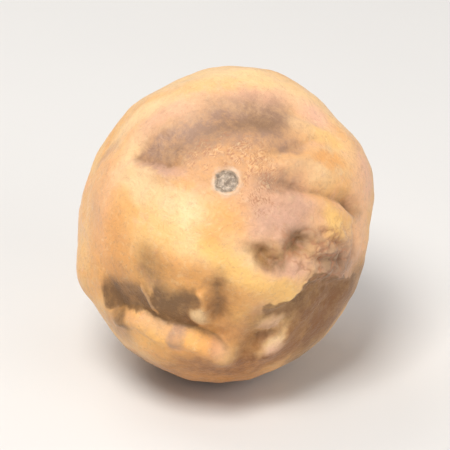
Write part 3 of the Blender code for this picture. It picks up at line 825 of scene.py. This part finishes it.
        "ridge on the right": StainOrPaintedLight(Oval((22.5, 17.2), (5, 1.2), 10), 0.5, 0.6),
        "second ridge on the right": StainOrPaintedLight(Oval((23.5, 12.6), (7, 2), -8), 0.45, 0.7),
        # From here to the lip: painted highlights on what stands proud and catches the light, the bump and
        # rib in the fold, the flecks, the knob and the lip.
        "bump in the fold": StainOrPaintedLight(Oval((-6.4, -22.6), (2.4, 2.6), 30), 0.9, 0.4),
        "rib in the fold": StainOrPaintedLight(
            Band(Line(((-20, -16.5), (-19.2, -17.8), (-17.8, -21.6))), 0.4, 0.4), 0.6, 0.5
        ),
        "upper fleck": StainOrPaintedLight(Oval((11.4, -25), (2.6, 1.7), 24), 0.85, 0.5),
        "lower fleck": StainOrPaintedLight(Oval((12.4, -29.2), (4.4, 2.2), 78), 0.9, 0.5),
        "knob under the fold": StainOrPaintedLight(Oval((0.4, -30.8), (2.6, 2.8)), 0.6, 0.7),
        "lip, left": StainOrPaintedLight(Oval((-20, -24.6), (4, 1.2), -12), 0.4, 0.6),
        "lip, middle": StainOrPaintedLight(Oval((-15.5, -26.6), (4, 2), -12), 0.3, 0.6),
        "lip, right": StainOrPaintedLight(Oval((-6.6, -27.4), (2.8, 2), -20), 0.6, 0.6),
    },
    Tone.BLUSH: {
        "back, cheek": StainOrPaintedLight(Oval((-12, 18), (8, 5), 20, Side.BACK), 0.9),
        "over the top": StainOrPaintedLight(Oval((0, 25), (32, 13)), 0.38),
        "left flank": StainOrPaintedLight(Oval((-32, 3), (7, 16)), 0.4, 0.9),
        # Painted rim light along the right edge.
        "right rim": StainOrPaintedLight(Oval((34.5, 2), (5, 15), 5), 0.7, 0.6),
    },
}

@dataclass(frozen=True)
class Scar:
    """The round corky stalk scar: a low rim round a sunken pad, with a crumb of stalk in its middle.

    Attributes:
        at: Its place on the face, in millimetres, as all the rest is.
        radius: How far the pad reaches.
        rim: How high the rim is, how far outside the pad and how wide.
        pad: How deep the pad is, and how wide its slope.
        crumb: How high the crumb is, and how wide.
        fray: How far the pad's outline wanders.
        edge: How far outside and inside the pad's outline its colour fades.
    """

    at: Pair = (0.4, 10.6)
    radius: float = 2.9
    rim: tuple[float, float, float] = (0.30, 0.4, 0.7)
    pad: Pair = (0.55, 0.9)
    crumb: Pair = (0.45, 0.9)
    fray: float = 0.5
    edge: Pair = (0.45, 0.25)

    def flat(self, directions: np.ndarray) -> np.ndarray:
        """Millimetres to the right of and above the scar's middle, along the rind."""
        return rind_map(directions, place(self.at))

    def distance(self, directions: np.ndarray) -> np.ndarray:
        """Millimetres from the scar's middle, along the rind."""
        return np.linalg.norm(self.flat(directions), axis=1)

    def is_near(self, directions: np.ndarray, reach: float) -> np.ndarray:
        """Whether each direction is within so many millimetres of the scar's middle."""
        return directions @ place(self.at) > math.cos(reach * MM / MEAN_RADIUS)

    def height(self, directions: np.ndarray) -> np.ndarray:
        """The scar's relief.

        Args:
            directions: Unit directions from the fruit's middle.

        Returns:
            How far it raises the rind, in millimetres.
        """
        radius = self.distance(directions)
        height, outside, width = self.rim
        rim = height * dome((radius - self.radius - outside) / width)
        pad = -self.pad[0] * smooth_step(self.radius, self.radius - self.pad[1], radius)
        return rim + pad + self.crumb[0] * dome(radius / self.crumb[1])

    def cover(self, directions: np.ndarray) -> np.ndarray:
        """How much cork there is, with a frayed edge.

        Args:
            directions: Unit directions from the fruit's middle.

        Returns:
            A share of 0 to 1 for each direction.
        """
        frayed = self.fray * noise_field(directions, size=2.2, phase=6.6, octaves=3)
        ragged = self.distance(directions) + frayed
        return smooth_step(self.radius + self.edge[0], self.radius - self.edge[1], ragged)


@dataclass(frozen=True)
class Blossom:
    """The dimple that the flower left on the back, with a small point in it.

    Attributes:
        at: Its place on the back, in millimetres, as all the rest is.
        dimple: How deep the dimple is, and how wide.
        point: How high the point is, and how wide.
    """

    at: Pair = (0.4, -10.6)
    dimple: Pair = (1.3, 4.0)
    point: Pair = (0.6, 1.1)

    def height(self, directions: np.ndarray) -> np.ndarray:
        """The blossom scar's relief.

        Args:
            directions: Unit directions from the fruit's middle.

        Returns:
            How far it raises the rind, in millimetres.
        """
        radius = np.linalg.norm(rind_map(directions, place(self.at, Side.BACK)), axis=1)
        return self.point[0] * dome(radius / self.point[1]) - self.dimple[0] * dome(radius / self.dimple[1])


@dataclass(frozen=True)
class Wave:
    """Broad unevenness of the rind, as the frame's solid has it.

    Attributes:
        size: How large the lumps are.
        height: How far they rise and fall.
        phase: What sets them apart from any other.
    """

    size: float = 21 * MM
    height: float = 0.9 * MM
    phase: tuple[float, float, float] = (3.1, 7.4, 1.9)

    def rise(self, directions: np.ndarray) -> np.ndarray:
        """How far it raises the rind in each direction, in metres."""
        return self.height * layered_noise(directions * MEAN_RADIUS / self.size, Vector(self.phase), 3)


@dataclass(frozen=True)
class Crackle:
    """Fine broken rings in the skin above and right of the scar.

    Attributes:
        gap: How far apart the rings are, in millimetres.
        waver: How far they wander, in millimetres.
        start: How far from the scar's middle they begin, and where they are whole.
        end: How far from it they are gone, and where they begin to fade.
        bearing: The way that they lie from the scar, in degrees anticlockwise from the right.
        spread: How far to the sides of that way they are gone, and where they are whole: cosines.
        breaks: The noise values where a ring is gone and where it is whole.
    """

    gap: float = 0.75
    waver: float = 1.5
    start: Pair = (3.4, 4.4)
    end: Pair = (18.0, 9.0)
    bearing: float = 55.0
    spread: Pair = (-0.8, 0.2)
    breaks: Pair = (-0.45, 0.15)

    def rings(self, directions: np.ndarray, scar: Scar) -> np.ndarray:
        """The rings' height in each direction.

        Args:
            directions: Unit directions from the fruit's middle.
            scar: The scar that they run round.

        Returns:
            A value of -1 to 1 for each direction.
        """
        flat = scar.flat(directions)
        radius = np.linalg.norm(flat, axis=1)
        warp = noise_field(directions, size=2.0, phase=2.2, octaves=3)
        rings = np.cos(2 * math.pi * (radius + self.waver * warp) / self.gap)
        whole = smooth_step(*self.breaks, noise_field(directions, size=2.6, phase=8.8))
        aside = smooth_step(*self.spread, flat @ heading(self.bearing) / np.maximum(radius, TINY))
        return whole * rings * smooth_step(*self.start, radius) * smooth_step(*self.end, radius) * aside


@dataclass(frozen=True)
class Crumple:
    """Crumpled skin on the right flank, in the dents and on the shaded side.

    Attributes:
        flank: The crumpled stretch on the right.
        dents: The one round the two dents.
        shade: The one on the shaded side, which has lumps but no creases.
        lumps: How strong the lumps are on the three, in that order.
        darkness: How strongly the creases show on the flank and in the dents.
        ridges: Their level, how much sharp ridges take off it and how much broad lumps add.
        plates: How steep a crease's sides are, how deep it is and where the plates beside it level out.
        creases: How high the creases are, in millimetres.
        run: How far the creases climb to the right, in degrees.
        stretch: How many times longer than wide they are.
    """

    flank: Oval = Oval((26.0, -8.0), (10.5, 9.0))
    dents: Oval = Oval((14.5, -4.5), (8.5, 6.5), 20)
    shade: Oval = Oval((23.0, -21.0), (11.0, 8.0), 40)
    lumps: tuple[float, float, float] = (0.62, 0.48, 0.30)
    darkness: Pair = (1.3, 0.7)
    ridges: tuple[float, float, float] = (0.5, 1.1, 0.8)
    plates: tuple[float, float, float] = (3.2, 0.8, 0.45)
    creases: float = 0.26
    run: float = 22.0
    stretch: float = 2.4

    def relief(self, directions: np.ndarray) -> tuple[np.ndarray, np.ndarray]:
        """The crumple's relief.

        Args:
            directions: Unit directions from the fruit's middle.

        Returns:
            How far it raises the rind, in millimetres, and its lines: above 0 on a plate, below in a crease.
        """
        level, sharp, broad = self.ridges
        ridges = level - sharp * np.abs(noise_field(directions, size=4.6, phase=6.1, octaves=3))
        ridges += broad * noise_field(directions, size=3.4, phase=1.7)
        flank, dents, shade = (stretch.mound(directions) for stretch in (self.flank, self.dents, self.shade))
        strength = self.lumps[0] * flank + self.lumps[1] * dents + self.lumps[2] * shade
        right, rise = heading(self.run)
        drawn = streaked(directions, right * RIGHT + rise * RISE, self.stretch)
        streaks = noise_field(drawn, size=2.2, phase=4.4, octaves=3)
        steep, deep, top = self.plates
        plates = np.minimum(steep * np.abs(streaks) - deep, top)
        height = ridges * strength + self.creases * plates * np.maximum(flank, dents)
        return height, plates * (self.darkness[0] * flank + self.darkness[1] * dents)


@dataclass(frozen=True)
class Fruit:
    """The whole dried fruit, as one closed surface with its tints kept as point attributes.

    Attributes:
        cells: How many cells the starting cube has along an edge.
        fine_flank: Where on the right the cells are halved.
        fine_reach: How far from the scar's middle they are halved, in millimetres.
        finest_reach: How far from it they are halved once more.
        fine_crease: How far from a crease's line they are halved.
        fine_span: From where to where along it, as shares of its length.
        crackle_height: How high the crackle's rings are, in millimetres.
        unevenness: How far the skin rises and falls all over, in millimetres.
        wander: How far a stain's outline wanders in broad and in fine bends, in millimetres.
    """

    cells: int = 98
    fine_flank: Oval = Oval((25.5, -8.0), (10.5, 9.5))
    fine_reach: float = 14.0
    finest_reach: float = 4.2
    fine_crease: float = 1.5
    fine_span: Pair = (0.02, 0.98)
    crackle_height: float = 0.045
    unevenness: float = 0.16
    wander: Pair = (1.6, 0.7)
    scar: Scar = Scar()
    blossom: Blossom = Blossom()
    wave: Wave = Wave()
    crackle: Crackle = Crackle()
    crumple: Crumple = Crumple()

    def build(self) -> bpy.types.Object:
        """Models the fruit.

        Returns:
            Its object, at the origin, with its place in its mesh.
        """
        surface = self.ball()
        directions = np.array([vertex.co[:] for vertex in surface.verts])
        heights, tints = self.relief(directions)
        radii = self.body(directions) + heights * MM + self.wave.rise(directions)
        for vertex, radius in zip(surface.verts, radii):
            vertex.co *= radius
        layers = {name: surface.verts.layers.float.new(name) for name in tints}
        for name, layer in layers.items():
            for vertex, value in zip(surface.verts, tints[name]):
                vertex[layer] = value
        self.rest_on_flat(surface)
        mesh = bpy.data.meshes.new("rind_surface")
        surface.to_mesh(mesh)
        surface.free()
        mesh.shade_smooth()
        fruit = bpy.data.objects.new("rind_surface", mesh)
        bpy.context.scene.collection.objects.link(fruit)
        return fruit

    def ball(self) -> bmesh.types.BMesh:
        """An even ball of quads of radius 1, with smaller cells where the rind has fine detail."""
        surface = bmesh.new()
        bmesh.ops.create_cube(surface, size=2.0)
        bmesh.ops.subdivide_edges(surface, edges=surface.edges[:], cuts=self.cells - 1, use_grid_fill=True)
        for vertex in surface.verts:
            vertex.co = Vector([math.tan(c * math.pi / 4) for c in vertex.co]).normalized()
        self.halve_cells(surface, self.is_detailed)
        self.halve_cells(surface, lambda spots: self.scar.is_near(spots, self.finest_reach))
        return surface

    def halve_cells(self, surface: bmesh.types.BMesh, is_near: Callable[[np.ndarray], np.ndarray]) -> None:
        """Splits the edges whose middles pass a test.

        Args:
            surface: The ball.
            is_near: The test, of an array of directions.
        """
        surface.edges.ensure_lookup_table()
        middles = np.array([((e.verts[0].co + e.verts[1].co) / 2).normalized()[:] for e in surface.edges])
        chosen = [surface.edges[i] for i in np.flatnonzero(is_near(middles))]
        bmesh.ops.subdivide_edges(surface, edges=chosen, cuts=1, use_grid_fill=True)
        for vertex in surface.verts:
            vertex.co.normalize()

    def is_detailed(self, directions: np.ndarray) -> np.ndarray:
        """Finds the rind that needs smaller cells.

        Args:
            directions: Unit directions from the fruit's middle.

        Returns:
            Whether each direction lies in a crease, near the scar or in the crumpled stretch on the right.
        """
        near = self.scar.is_near(directions, self.fine_reach)
        near |= self.fine_flank.distance(directions) < 1.0
        for fold in FOLDS.values():
            across, along = fold.line.position(directions)
            within = (along > self.fine_span[0]) & (along < self.fine_span[1])
            near |= (np.abs(across) < self.fine_crease) & within
        return near

    def body(self, directions: np.ndarray) -> np.ndarray:
        """The leaning ellipsoid under the relief.

        Args:
            directions: Unit directions from the fruit's middle.

        Returns:
            Its radius in each direction, in metres.
        """
        tall = math.sin(LEAN) * RIGHT + math.cos(LEAN) * RISE
        wide = math.cos(LEAN) * RIGHT - math.sin(LEAN) * RISE
        share = (
            (directions @ wide / HALF_WIDTH) ** 2
            + (directions @ tall / HALF_HEIGHT) ** 2
            + (directions @ OUT / HALF_DEPTH) ** 2
        )
        return 1.0 / np.sqrt(share)

    def relief(self, directions: np.ndarray) -> tuple[np.ndarray, dict[str, np.ndarray]]:
        """The rind's relief and tints.

        Args:
            directions: Unit directions from the fruit's middle.

        Returns:
            How far the rind is raised in each direction, in millimetres, and each attribute's values by name.
        """
        height = self.scar.height(directions) + self.blossom.height(directions)
        height += self.unevenness * noise_field(directions, size=5.5, phase=3.7, octaves=3)
        for swell in SWELLS.values():
            height += swell.height(directions)
        # painted shade along the creases and at the ledges' feet, kept in the attribute named crease
        crease = np.zeros(len(directions))
        for fold in FOLDS.values():
            raised, inside = fold.height(directions)
            height += raised
            crease = np.maximum(crease, inside)
        rings = self.crackle.rings(directions, self.scar)
        crumpled, lined = self.crumple.relief(directions)
        height += self.crackle_height * rings + crumpled
        tints = self.tints(directions)
        tints["crease"] = crease
        tints["lines"] = rings + lined
        tints["scar"] = self.scar.cover(directions)
        tints["ring"] = self.scar.distance(directions)
        return height, tints

    def tints(self, directions: np.ndarray) -> dict[str, np.ndarray]:
        """Lays the stains, painted shade and painted highlights on, with ragged edges.

        Args:
            directions: Unit directions from the fruit's middle.

        Returns:
            How much there is in each direction, by the tone's name.
        """
        broad = [noise_field(directions, size=7.0, phase=phase, octaves=3) for phase in (1.3, 5.9, 9.2)]
        fine = [noise_field(directions, size=1.9, phase=phase) for phase in (2.7, 6.4, 8.1)]
        bends = self.wander[0] * np.stack(broad, axis=1) + self.wander[1] * np.stack(fine, axis=1)
        wobble = bends * MM / MEAN_RADIUS
        covers = {}
        for tone, tone_marks in STAINS_AND_PAINTED_LIGHT.items():
            cover = np.zeros(len(directions))
            for mark in tone_marks.values():
                cover = mark.lay_on(cover, directions, wobble)
            covers[tone.value] = cover
        return covers

    def rest_on_flat(self, surface: bmesh.types.BMesh) -> None:
        """Lifts the fruit to its height and cuts its small flat spot at height 0.

        Args:
            surface: The fruit's surface round the origin.
        """
        bmesh.ops.translate(surface, verts=surface.verts[:], vec=(0.0, 0.0, MIDDLE_HEIGHT))
        cut = bmesh.ops.bisect_plane(
            surface,
            geom=surface.verts[:] + surface.edges[:] + surface.faces[:],
            dist=ON_CUT,
            plane_co=(0.0, 0.0, 0.0),
            plane_no=(0.0, 0.0, -1.0),
            clear_outer=True,
        )
        rim = [part for part in cut["geom_cut"] if isinstance(part, bmesh.types.BMEdge)]
        bmesh.ops.edgeloop_fill(surface, edges=rim)
        bmesh.ops.recalc_face_normals(surface, faces=surface.faces[:])


Value = Union["Wire", float, Colour, Vector]


class Wire:
    """An output of a shader node, in arithmetic. Numbers only: colours go through Board.mix."""

    def __init__(self, board: "Board", socket: bpy.types.NodeSocket) -> None:
        """Wraps an output.

        Args:
            board: The board that its node is on.
            socket: The output.
        """
        self.board = board
        self.socket = socket

    def math(self, operation: str, *values: Value) -> "Wire":
        """A Math node on these values.

        Args:
            operation: The Math node's operation.
            values: Its inputs.

        Returns:
            Its output.
        """
        return self.board.node("ShaderNodeMath", {"operation": operation}, dict(enumerate(values)))

    def __add__(self, other: Value) -> "Wire":
        """Adds."""
        return self.math("ADD", self, other)

    def __sub__(self, other: Value) -> "Wire":
        """Subtracts."""
        return self.math("SUBTRACT", self, other)

    def __rsub__(self, other: Value) -> "Wire":
        """Subtracts this from a number."""
        return self.math("SUBTRACT", other, self)

    def __mul__(self, other: Value) -> "Wire":
        """Multiplies."""
        return self.math("MULTIPLY", self, other)

    __radd__ = __add__
    __rmul__ = __mul__

    def step(self, low: float, high: float) -> "Wire":
        """A smooth ramp from 0 at low to 1 at high.

        Args:
            low: Where it leaves 0.
            high: Where it reaches 1.

        Returns:
            The ramp's output.
        """
        inputs = {"Value": self, "From Min": low, "From Max": high}
        return self.board.node("ShaderNodeMapRange", {"interpolation_type": "SMOOTHSTEP"}, inputs)


@dataclass(frozen=True)
class Patches:
    """Patches of a colour, where noise is high enough.

    Attributes:
        size: How large the noise's lumps are, in metres.
        detail: How many finer layers it has.
        rough: How strong they are.
        warp: How much it is distorted.
        start: The noise value where the colour begins.
        full: The noise value where there is most of it.
        amount: The most there is of it, 0 to 1.
    """

    size: float
    detail: float
    rough: float
    warp: float
    start: float
    full: float
    amount: float = 1.0


class Board:
    """A material's nodes, built up by calls."""

    def __init__(self, name: str) -> None:
        """Starts a material.

        Args:
            name: The material's name.
        """
        self.material = bpy.data.materials.new(name)
        self.material.use_nodes = True
        self.tree = self.material.node_tree
        self.shader = self.tree.nodes["Principled BSDF"]
        self.coordinates = self.node("ShaderNodeTexCoord", {}, {}, "Object")

    def node(
        self,
        kind: str,
        settings: Mapping[str, Any],
        inputs: Mapping[Union[str, int], Value],
        output: Union[str, int] = 0,
    ) -> Wire:
        """Adds a node.

        Args:
            kind: The node's type.
            settings: Its own settings, which are set first.
            inputs: Values or wires for its inputs, by name or number.
            output: Which of its outputs is wanted.

        Returns:
            That output.
        """
        made = self.tree.nodes.new(kind)
        for name, setting in settings.items():
            setattr(made, name, setting)
        for name, value in inputs.items():
            self.feed(made.inputs[name], value)
        return Wire(self, made.outputs[output])

    def feed(self, socket: bpy.types.NodeSocket, value: Value) -> None:
        """Gives an input its value or its link.

        Args:
            socket: The input.
            value: A wire, a number or a colour.
        """
        if isinstance(value, Wire):
            self.tree.links.new(value.socket, socket)
        elif socket.type == "RGBA":
            socket.default_value = (*value, 1.0)
        else:
            socket.default_value = value

    def attribute(self, name: str) -> Wire:
        """A point attribute of the piece, as a number."""
        return self.node("ShaderNodeAttribute", {"attribute_name": name}, {}, "Fac")

    def noise(self, size: float, detail: float = 2.0, rough: float = 0.5, warp: float = 0.0) -> Wire:
        """Noise of 0 to 1 on the piece's own coordinates.

        Args:
            size: How large its lumps are, in metres.
            detail: How many finer layers it has.
            rough: How strong they are.
            warp: How much it is distorted.

        Returns:
            Its value.
        """
        shape = {"Scale": 1.0 / size, "Detail": detail, "Roughness": rough, "Distortion": warp}
        return self.node("ShaderNodeTexNoise", {}, {"Vector": self.coordinates, **shape})

    def patches(self, of: Patches) -> Wire:
        """How much of the patches' colour there is, 0 to their amount."""
        return self.noise(of.size, of.detail, of.rough, of.warp).step(of.start, of.full) * of.amount

    def mix(self, amount: Value, first: Value, second: Value) -> Wire:
        """Mixes two colours.

        Args:
            amount: How much of the second there is, 0 to 1.
            first: The first colour.
            second: The second colour.

        Returns:
            The mixed colour.
        """
        settings = {"data_type": "RGBA", "blend_type": "MIX", "clamp_factor": True}
        return self.node("ShaderNodeMix", settings, {0: amount, 6: first, 7: second}, 2)


@dataclass(frozen=True)
class RindFinish:
    """The dry rind: a matt tan skin with waxy pale spots, blushes, brown stains and a grey corky scar, with
    painted shade and painted highlights.

    Attributes:
        tan: The rind's own colour, and straw its lighter patches. The other tones are named as Tone has them.
        cork: The scar's dark colour, and bone its pale one and its halo's.
        speck: The colour of scattered dark specks.
        crack: The colour between the crackle's rings and in the crumple's creases.
        light_tones: How strong each light stain and painted highlight is, in the order that they are laid on.
        dark_tones: How strong each dark stain and painted shade is on plain rind, and how much more where it
            is patchy.
        blotchy: The noise values between which the rind turns from plain to patchy.
        creases: The same as for a dark stain, for the painted shade in umber along the creases and at the
            ledges' feet.
        ring_light: Where a ring's cream begins and is strongest, and how strong that is.
        ring_dark: The same for the crack's colour, counted downwards.
        halo: How far from the scar's middle its halo begins and is strongest, in millimetres.
        fray: How far the halo wanders, in millimetres.
        bump: How strong the pitting's shading is, and how deep, in metres.
        pits: The pits' share of it; the rest is faint wrinkles.
    """

    tan: Colour = (0.85, 0.455, 0.155)
    straw: Colour = (0.88, 0.535, 0.215)
    # cream also serves as painted highlight on the belly, ridges, flecks, knob and lip, and as painted sheen
    # on the top rim
    cream_and_highlight: Colour = (0.95, 0.685, 0.37)
    # blush also serves as painted rim light along the right edge
    blush: Colour = (0.88, 0.49, 0.28)
    pink: Colour = (0.84, 0.475, 0.34)
    # gold also serves as painted highlight on the lower belly and the lip, and as painted light where the
    # rind turns down
    gold_and_highlight: Colour = (0.97, 0.575, 0.175)
    # orange also serves as painted shade where the belly turns down and underneath
    orange: Colour = (0.86, 0.40, 0.11)
    mauve: Colour = (0.38, 0.225, 0.15)
    # umber also serves as painted shade in the fold's pockets, on the shaded side, underneath and along the
    # creases
    umber_and_shade: Colour = (0.212, 0.110, 0.040)
    # rust also serves as painted shade in the fold's right pocket, on the shaded side and underneath
    rust_and_shade: Colour = (0.26, 0.095, 0.022)
    cork: Colour = (0.25, 0.19, 0.14)
    bone: Colour = (0.76, 0.60, 0.45)
    speck: Colour = (0.36, 0.20, 0.11)
    crack: Colour = (0.44, 0.19, 0.09)
    straw_patches: Patches = Patches(14 * MM, 3, 0.55, 0.4, 0.38, 0.64)
    orange_patches: Patches = Patches(7 * MM, 4, 0.65, 0.6, 0.50, 0.70, 0.60)
    blush_patches: Patches = Patches(5 * MM, 4, 0.65, 0.4, 0.50, 0.68, 0.55)
    dark_flecks: Patches = Patches(1.8 * MM, 6, 0.85, 0.5, 0.48, 0.66, 0.28)
    pale_flecks: Patches = Patches(1.7 * MM, 6, 0.75, 0.5, 0.52, 0.68, 0.36)
    specks: Patches = Patches(0.9 * MM, 2, 0.6, 0.0, 0.62, 0.72, 0.30)
    speckled: Patches = Patches(9 * MM, 2, 0.5, 0.0, 0.4, 0.65)
    halo_patches: Patches = Patches(2.6 * MM, 2, 0.5, 0.0, 0.30, 0.70, 0.75)
    crumbs: Patches = Patches(1.1 * MM, 4, 0.75, 0.0, 0.38, 0.76)
    light_tones: tuple[tuple[Tone, float], ...] = (
        (Tone.CREAM_AND_HIGHLIGHT, 0.9),
        (Tone.BLUSH, 1.0),
        (Tone.PINK, 1.0),
        (Tone.GOLD_AND_HIGHLIGHT, 1.0),
        (Tone.ORANGE, 1.0),
    )
    dark_tones: tuple[tuple[Tone, float, float], ...] = (
        (Tone.MAUVE, 0.68, 0.50),
        (Tone.UMBER_AND_SHADE, 0.80, 0.36),
        (Tone.RUST_AND_SHADE, 0.75, 0.50),
    )
    blotchy: Pair = (0.36, 0.64)
    creases: Pair = (0.35, 0.40)
    ring_light: tuple[float, float, float] = (0.3, 1.0, 0.34)
    ring_dark: tuple[float, float, float] = (0.0, 0.8, 0.68)
    halo: Pair = (4.6, 3.2)
    fray: float = 0.8
    roughness: float = 0.52
    roughness_range: float = 0.12
    sheen: float = 0.16
    sheen_roughness: float = 0.35
    bump: Pair = (0.9, 0.55 * MM)
    pits: float = 0.25

    def material(self) -> bpy.types.Material:
        """Builds the rind's material.

        Returns:
            The material.
        """
        board = Board("rind")
        shader = board.shader.inputs
        uneven = (board.noise(3 * MM, 3) - 0.5) * self.roughness_range
        board.feed(shader["Base Color"], self.with_scar(board, self.with_lines(board, self.with_stains_and_painted_light(board))))
        board.feed(shader["Roughness"], self.roughness + uneven)
        board.feed(shader["Normal"], self.pitting(board))
        shader["Sheen Weight"].default_value = self.sheen
        shader["Sheen Roughness"].default_value = self.sheen_roughness
        return board.material

    def with_stains_and_painted_light(self, board: Board) -> Wire:
        """The mottled rind with its stains, painted shade and painted highlights, the light ones first.

        Args:
            board: The material's board.

        Returns:
            The colour.
        """
        colour = board.mix(board.patches(self.straw_patches), self.tan, self.straw)
        colour = board.mix(board.patches(self.orange_patches), colour, self.orange)
        colour = board.mix(board.patches(self.blush_patches), colour, self.blush)
        # cream, gold and blush lay painted highlights and rim light as well as pale and golden patches
        for tone, strength in self.light_tones:
            colour = board.mix(board.attribute(tone.value) * strength, colour, getattr(self, tone.value))
        colour = board.mix(board.patches(self.dark_flecks), colour, self.mauve)
        colour = board.mix(board.patches(self.pale_flecks), colour, self.cream_and_highlight)
        blotches = (board.noise(1.6 * MM, 5, 0.75) + board.noise(5 * MM, 4, 0.6)) * 0.5
        patchy = blotches.step(*self.blotchy)
        # umber and rust lay painted shade as well as brown and reddish stains
        for tone, plain, more in self.dark_tones:
            strength = board.attribute(tone.value) * (plain + patchy * more)
            colour = board.mix(strength, colour, getattr(self, tone.value))
        # painted shade in umber along the creases and at the ledges' feet
        plain, more = self.creases
        return board.mix(board.attribute("crease") * (plain + patchy * more), colour, self.umber_and_shade)

    def with_lines(self, board: Board, colour: Wire) -> Wire:
        """Draws the crackle's rings, the crumple's creases and a few specks over the rind's colour.

        Args:
            board: The material's board.
            colour: The rind's colour.

        Returns:
            The colour with the lines.
        """
        lines = board.attribute("lines")
        start, full, strength = self.ring_light
        colour = board.mix(lines.step(start, full) * strength, colour, self.cream_and_highlight)
        start, full, strength = self.ring_dark
        colour = board.mix((0.0 - lines).step(start, full) * strength, colour, self.crack)
        return board.mix(board.patches(self.specks) * board.patches(self.speckled), colour, self.speck)

    def with_scar(self, board: Board, colour: Wire) -> Wire:
        """Lays the corky scar and its pale halo over the rind's colour.

        Args:
            board: The material's board.
            colour: The rind's colour.

        Returns:
            The colour with the scar.
        """
        ring = board.attribute("ring") + (board.noise(1.4 * MM) - 0.5) * self.fray
        colour = board.mix(ring.step(*self.halo) * board.patches(self.halo_patches), colour, self.bone)
        cork = board.mix(board.patches(self.crumbs), self.cork, self.bone)
        return board.mix(board.attribute("scar"), colour, cork)

    def pitting(self, board: Board) -> Wire:
        """The rind's soft pits and faint wrinkles, as a normal.

        Args:
            board: The material's board.

        Returns:
            The normal.
        """
        pits = board.noise(0.7 * MM, 3, 0.6)
        wrinkles = board.noise(2.6 * MM, 4, 0.6, 0.8)
        height = pits * self.pits + wrinkles * (1.0 - self.pits)
        strength, depth = self.bump
        inputs = {"Strength": strength, "Distance": depth, "Height": height}
        return board.node("ShaderNodeBump", {}, inputs)


@dataclass(frozen=True)
class Lamp:
    """A square soft light that faces the fruit.

    Attributes:
        offset: Where it is from the fruit's middle.
        size: How wide it is.
        power: Its power in watts.
        colour: Its colour.
    """

    offset: tuple[float, float, float]
    size: float
    power: float
    colour: Colour

    def build(self, name: str, target: Vector) -> None:
        """Adds the light.

        Args:
            name: The light's name.
            target: What it faces.
        """
        data = bpy.data.lights.new(name, "AREA")
        data.size = self.size
        data.energy = self.power
        data.color = self.colour
        lamp = bpy.data.objects.new(name, data)
        lamp.location = target + Vector(self.offset)
        lamp.rotation_euler = Vector(self.offset).to_track_quat("Z", "Y").to_euler()
        bpy.context.scene.collection.objects.link(lamp)


WARM_WHITE: Colour = (1.0, 0.97, 0.93)
PALE_WHITE: Colour = (1.0, 0.98, 0.96)
LAMPS: dict[str, Lamp] = {
    "key": Lamp((-0.20, -0.42, 0.85), 0.40, 8.2, WARM_WHITE),
    "back": Lamp((-0.40, 0.45, 0.72), 0.60, 2.4, WARM_WHITE),
    "rim": Lamp((0.85, 0.34, 0.30), 0.30, 1.0, PALE_WHITE),
    "fill": Lamp((0.70, -0.65, 0.45), 0.70, 2.6, PALE_WHITE),
}


@dataclass(frozen=True)
class Studio:
    """A plain pale floor, soft light and the camera, which looks straight at the fruit's face.

    Attributes:
        floor_size: How wide the floor is.
        floor_tones: The two near greys that the floor's paper varies between.
        floor_roughness: How matt it is.
        sky: The colour of the soft light from all round, and sky_strength its strength.
        elevation: How far above the horizontal the camera looks from.
        distance: How far the camera is from the fruit's middle.
        field: How wide the view is at that distance.
    """

    floor_size: float = 6.0
    floor_tones: tuple[Colour, Colour] = ((0.74, 0.73, 0.715), (0.76, 0.75, 0.735))
    floor_roughness: float = 0.85
    sky: Colour = (0.96, 0.97, 1.0)
    sky_strength: float = 0.31
    elevation: float = FACE_TILT
    distance: float = 0.9
    field: float = 0.1125

    def build(self) -> None:
        """Sets up everything round the fruit."""
        self.floor()
        self.world()
        target = Vector((0.0, 0.0, MIDDLE_HEIGHT))
        for name, lamp in LAMPS.items():
            lamp.build(name, target)
        self.camera(target)

    def floor(self) -> None:
        """The floor that the fruit rests on."""
        surface = bmesh.new()
        bmesh.ops.create_grid(surface, x_segments=1, y_segments=1, size=self.floor_size / 2)
        mesh = bpy.data.meshes.new("floor")
        surface.to_mesh(mesh)
        surface.free()
        board = Board("floor_paper")
        board.feed(board.shader.inputs["Base Color"], board.mix(board.noise(60 * MM), *self.floor_tones))
        board.shader.inputs["Roughness"].default_value = self.floor_roughness
        mesh.materials.append(board.material)
        floor = bpy.data.objects.new("floor", mesh)
        bpy.context.scene.collection.objects.link(floor)

    def world(self) -> None:
        """Soft white light from all round."""
        world = bpy.data.worlds.new("studio")
        world.use_nodes = True
        background = world.node_tree.nodes["Background"]
        background.inputs["Color"].default_value = (*self.sky, 1.0)
        background.inputs["Strength"].default_value = self.sky_strength
        bpy.context.scene.world = world
        bpy.context.scene.view_settings.view_transform = "Standard"

    def camera(self, target: Vector) -> None:
        """Adds the camera.

        Args:
            target: What it looks at.
        """
        data = bpy.data.cameras.new("camera")
        data.lens = data.sensor_width * self.distance / self.field
        camera = bpy.data.objects.new("camera", data)
        away = Vector((0.0, -math.cos(self.elevation), math.sin(self.elevation)))
        camera.location = target + self.distance * away
        camera.rotation_euler = (math.pi / 2 - self.elevation, 0.0, 0.0)
        bpy.context.scene.collection.objects.link(camera)
        bpy.context.scene.camera = camera


def main() -> None:
    """Builds the finished fruit round the frame, and the studio that it is seen in."""
    logging.basicConfig(level=logging.INFO)
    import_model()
    fruit = Fruit().build()
    fruit.data.materials.append(RindFinish().material())
    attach(fruit, "root")
    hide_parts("fruit")
    log.info("fruit: %d points, %d faces", len(fruit.data.vertices), len(fruit.data.polygons))
    Studio().build()
    log.info("studio: floor, lights and camera")


if __name__ == "__main__":
    main()
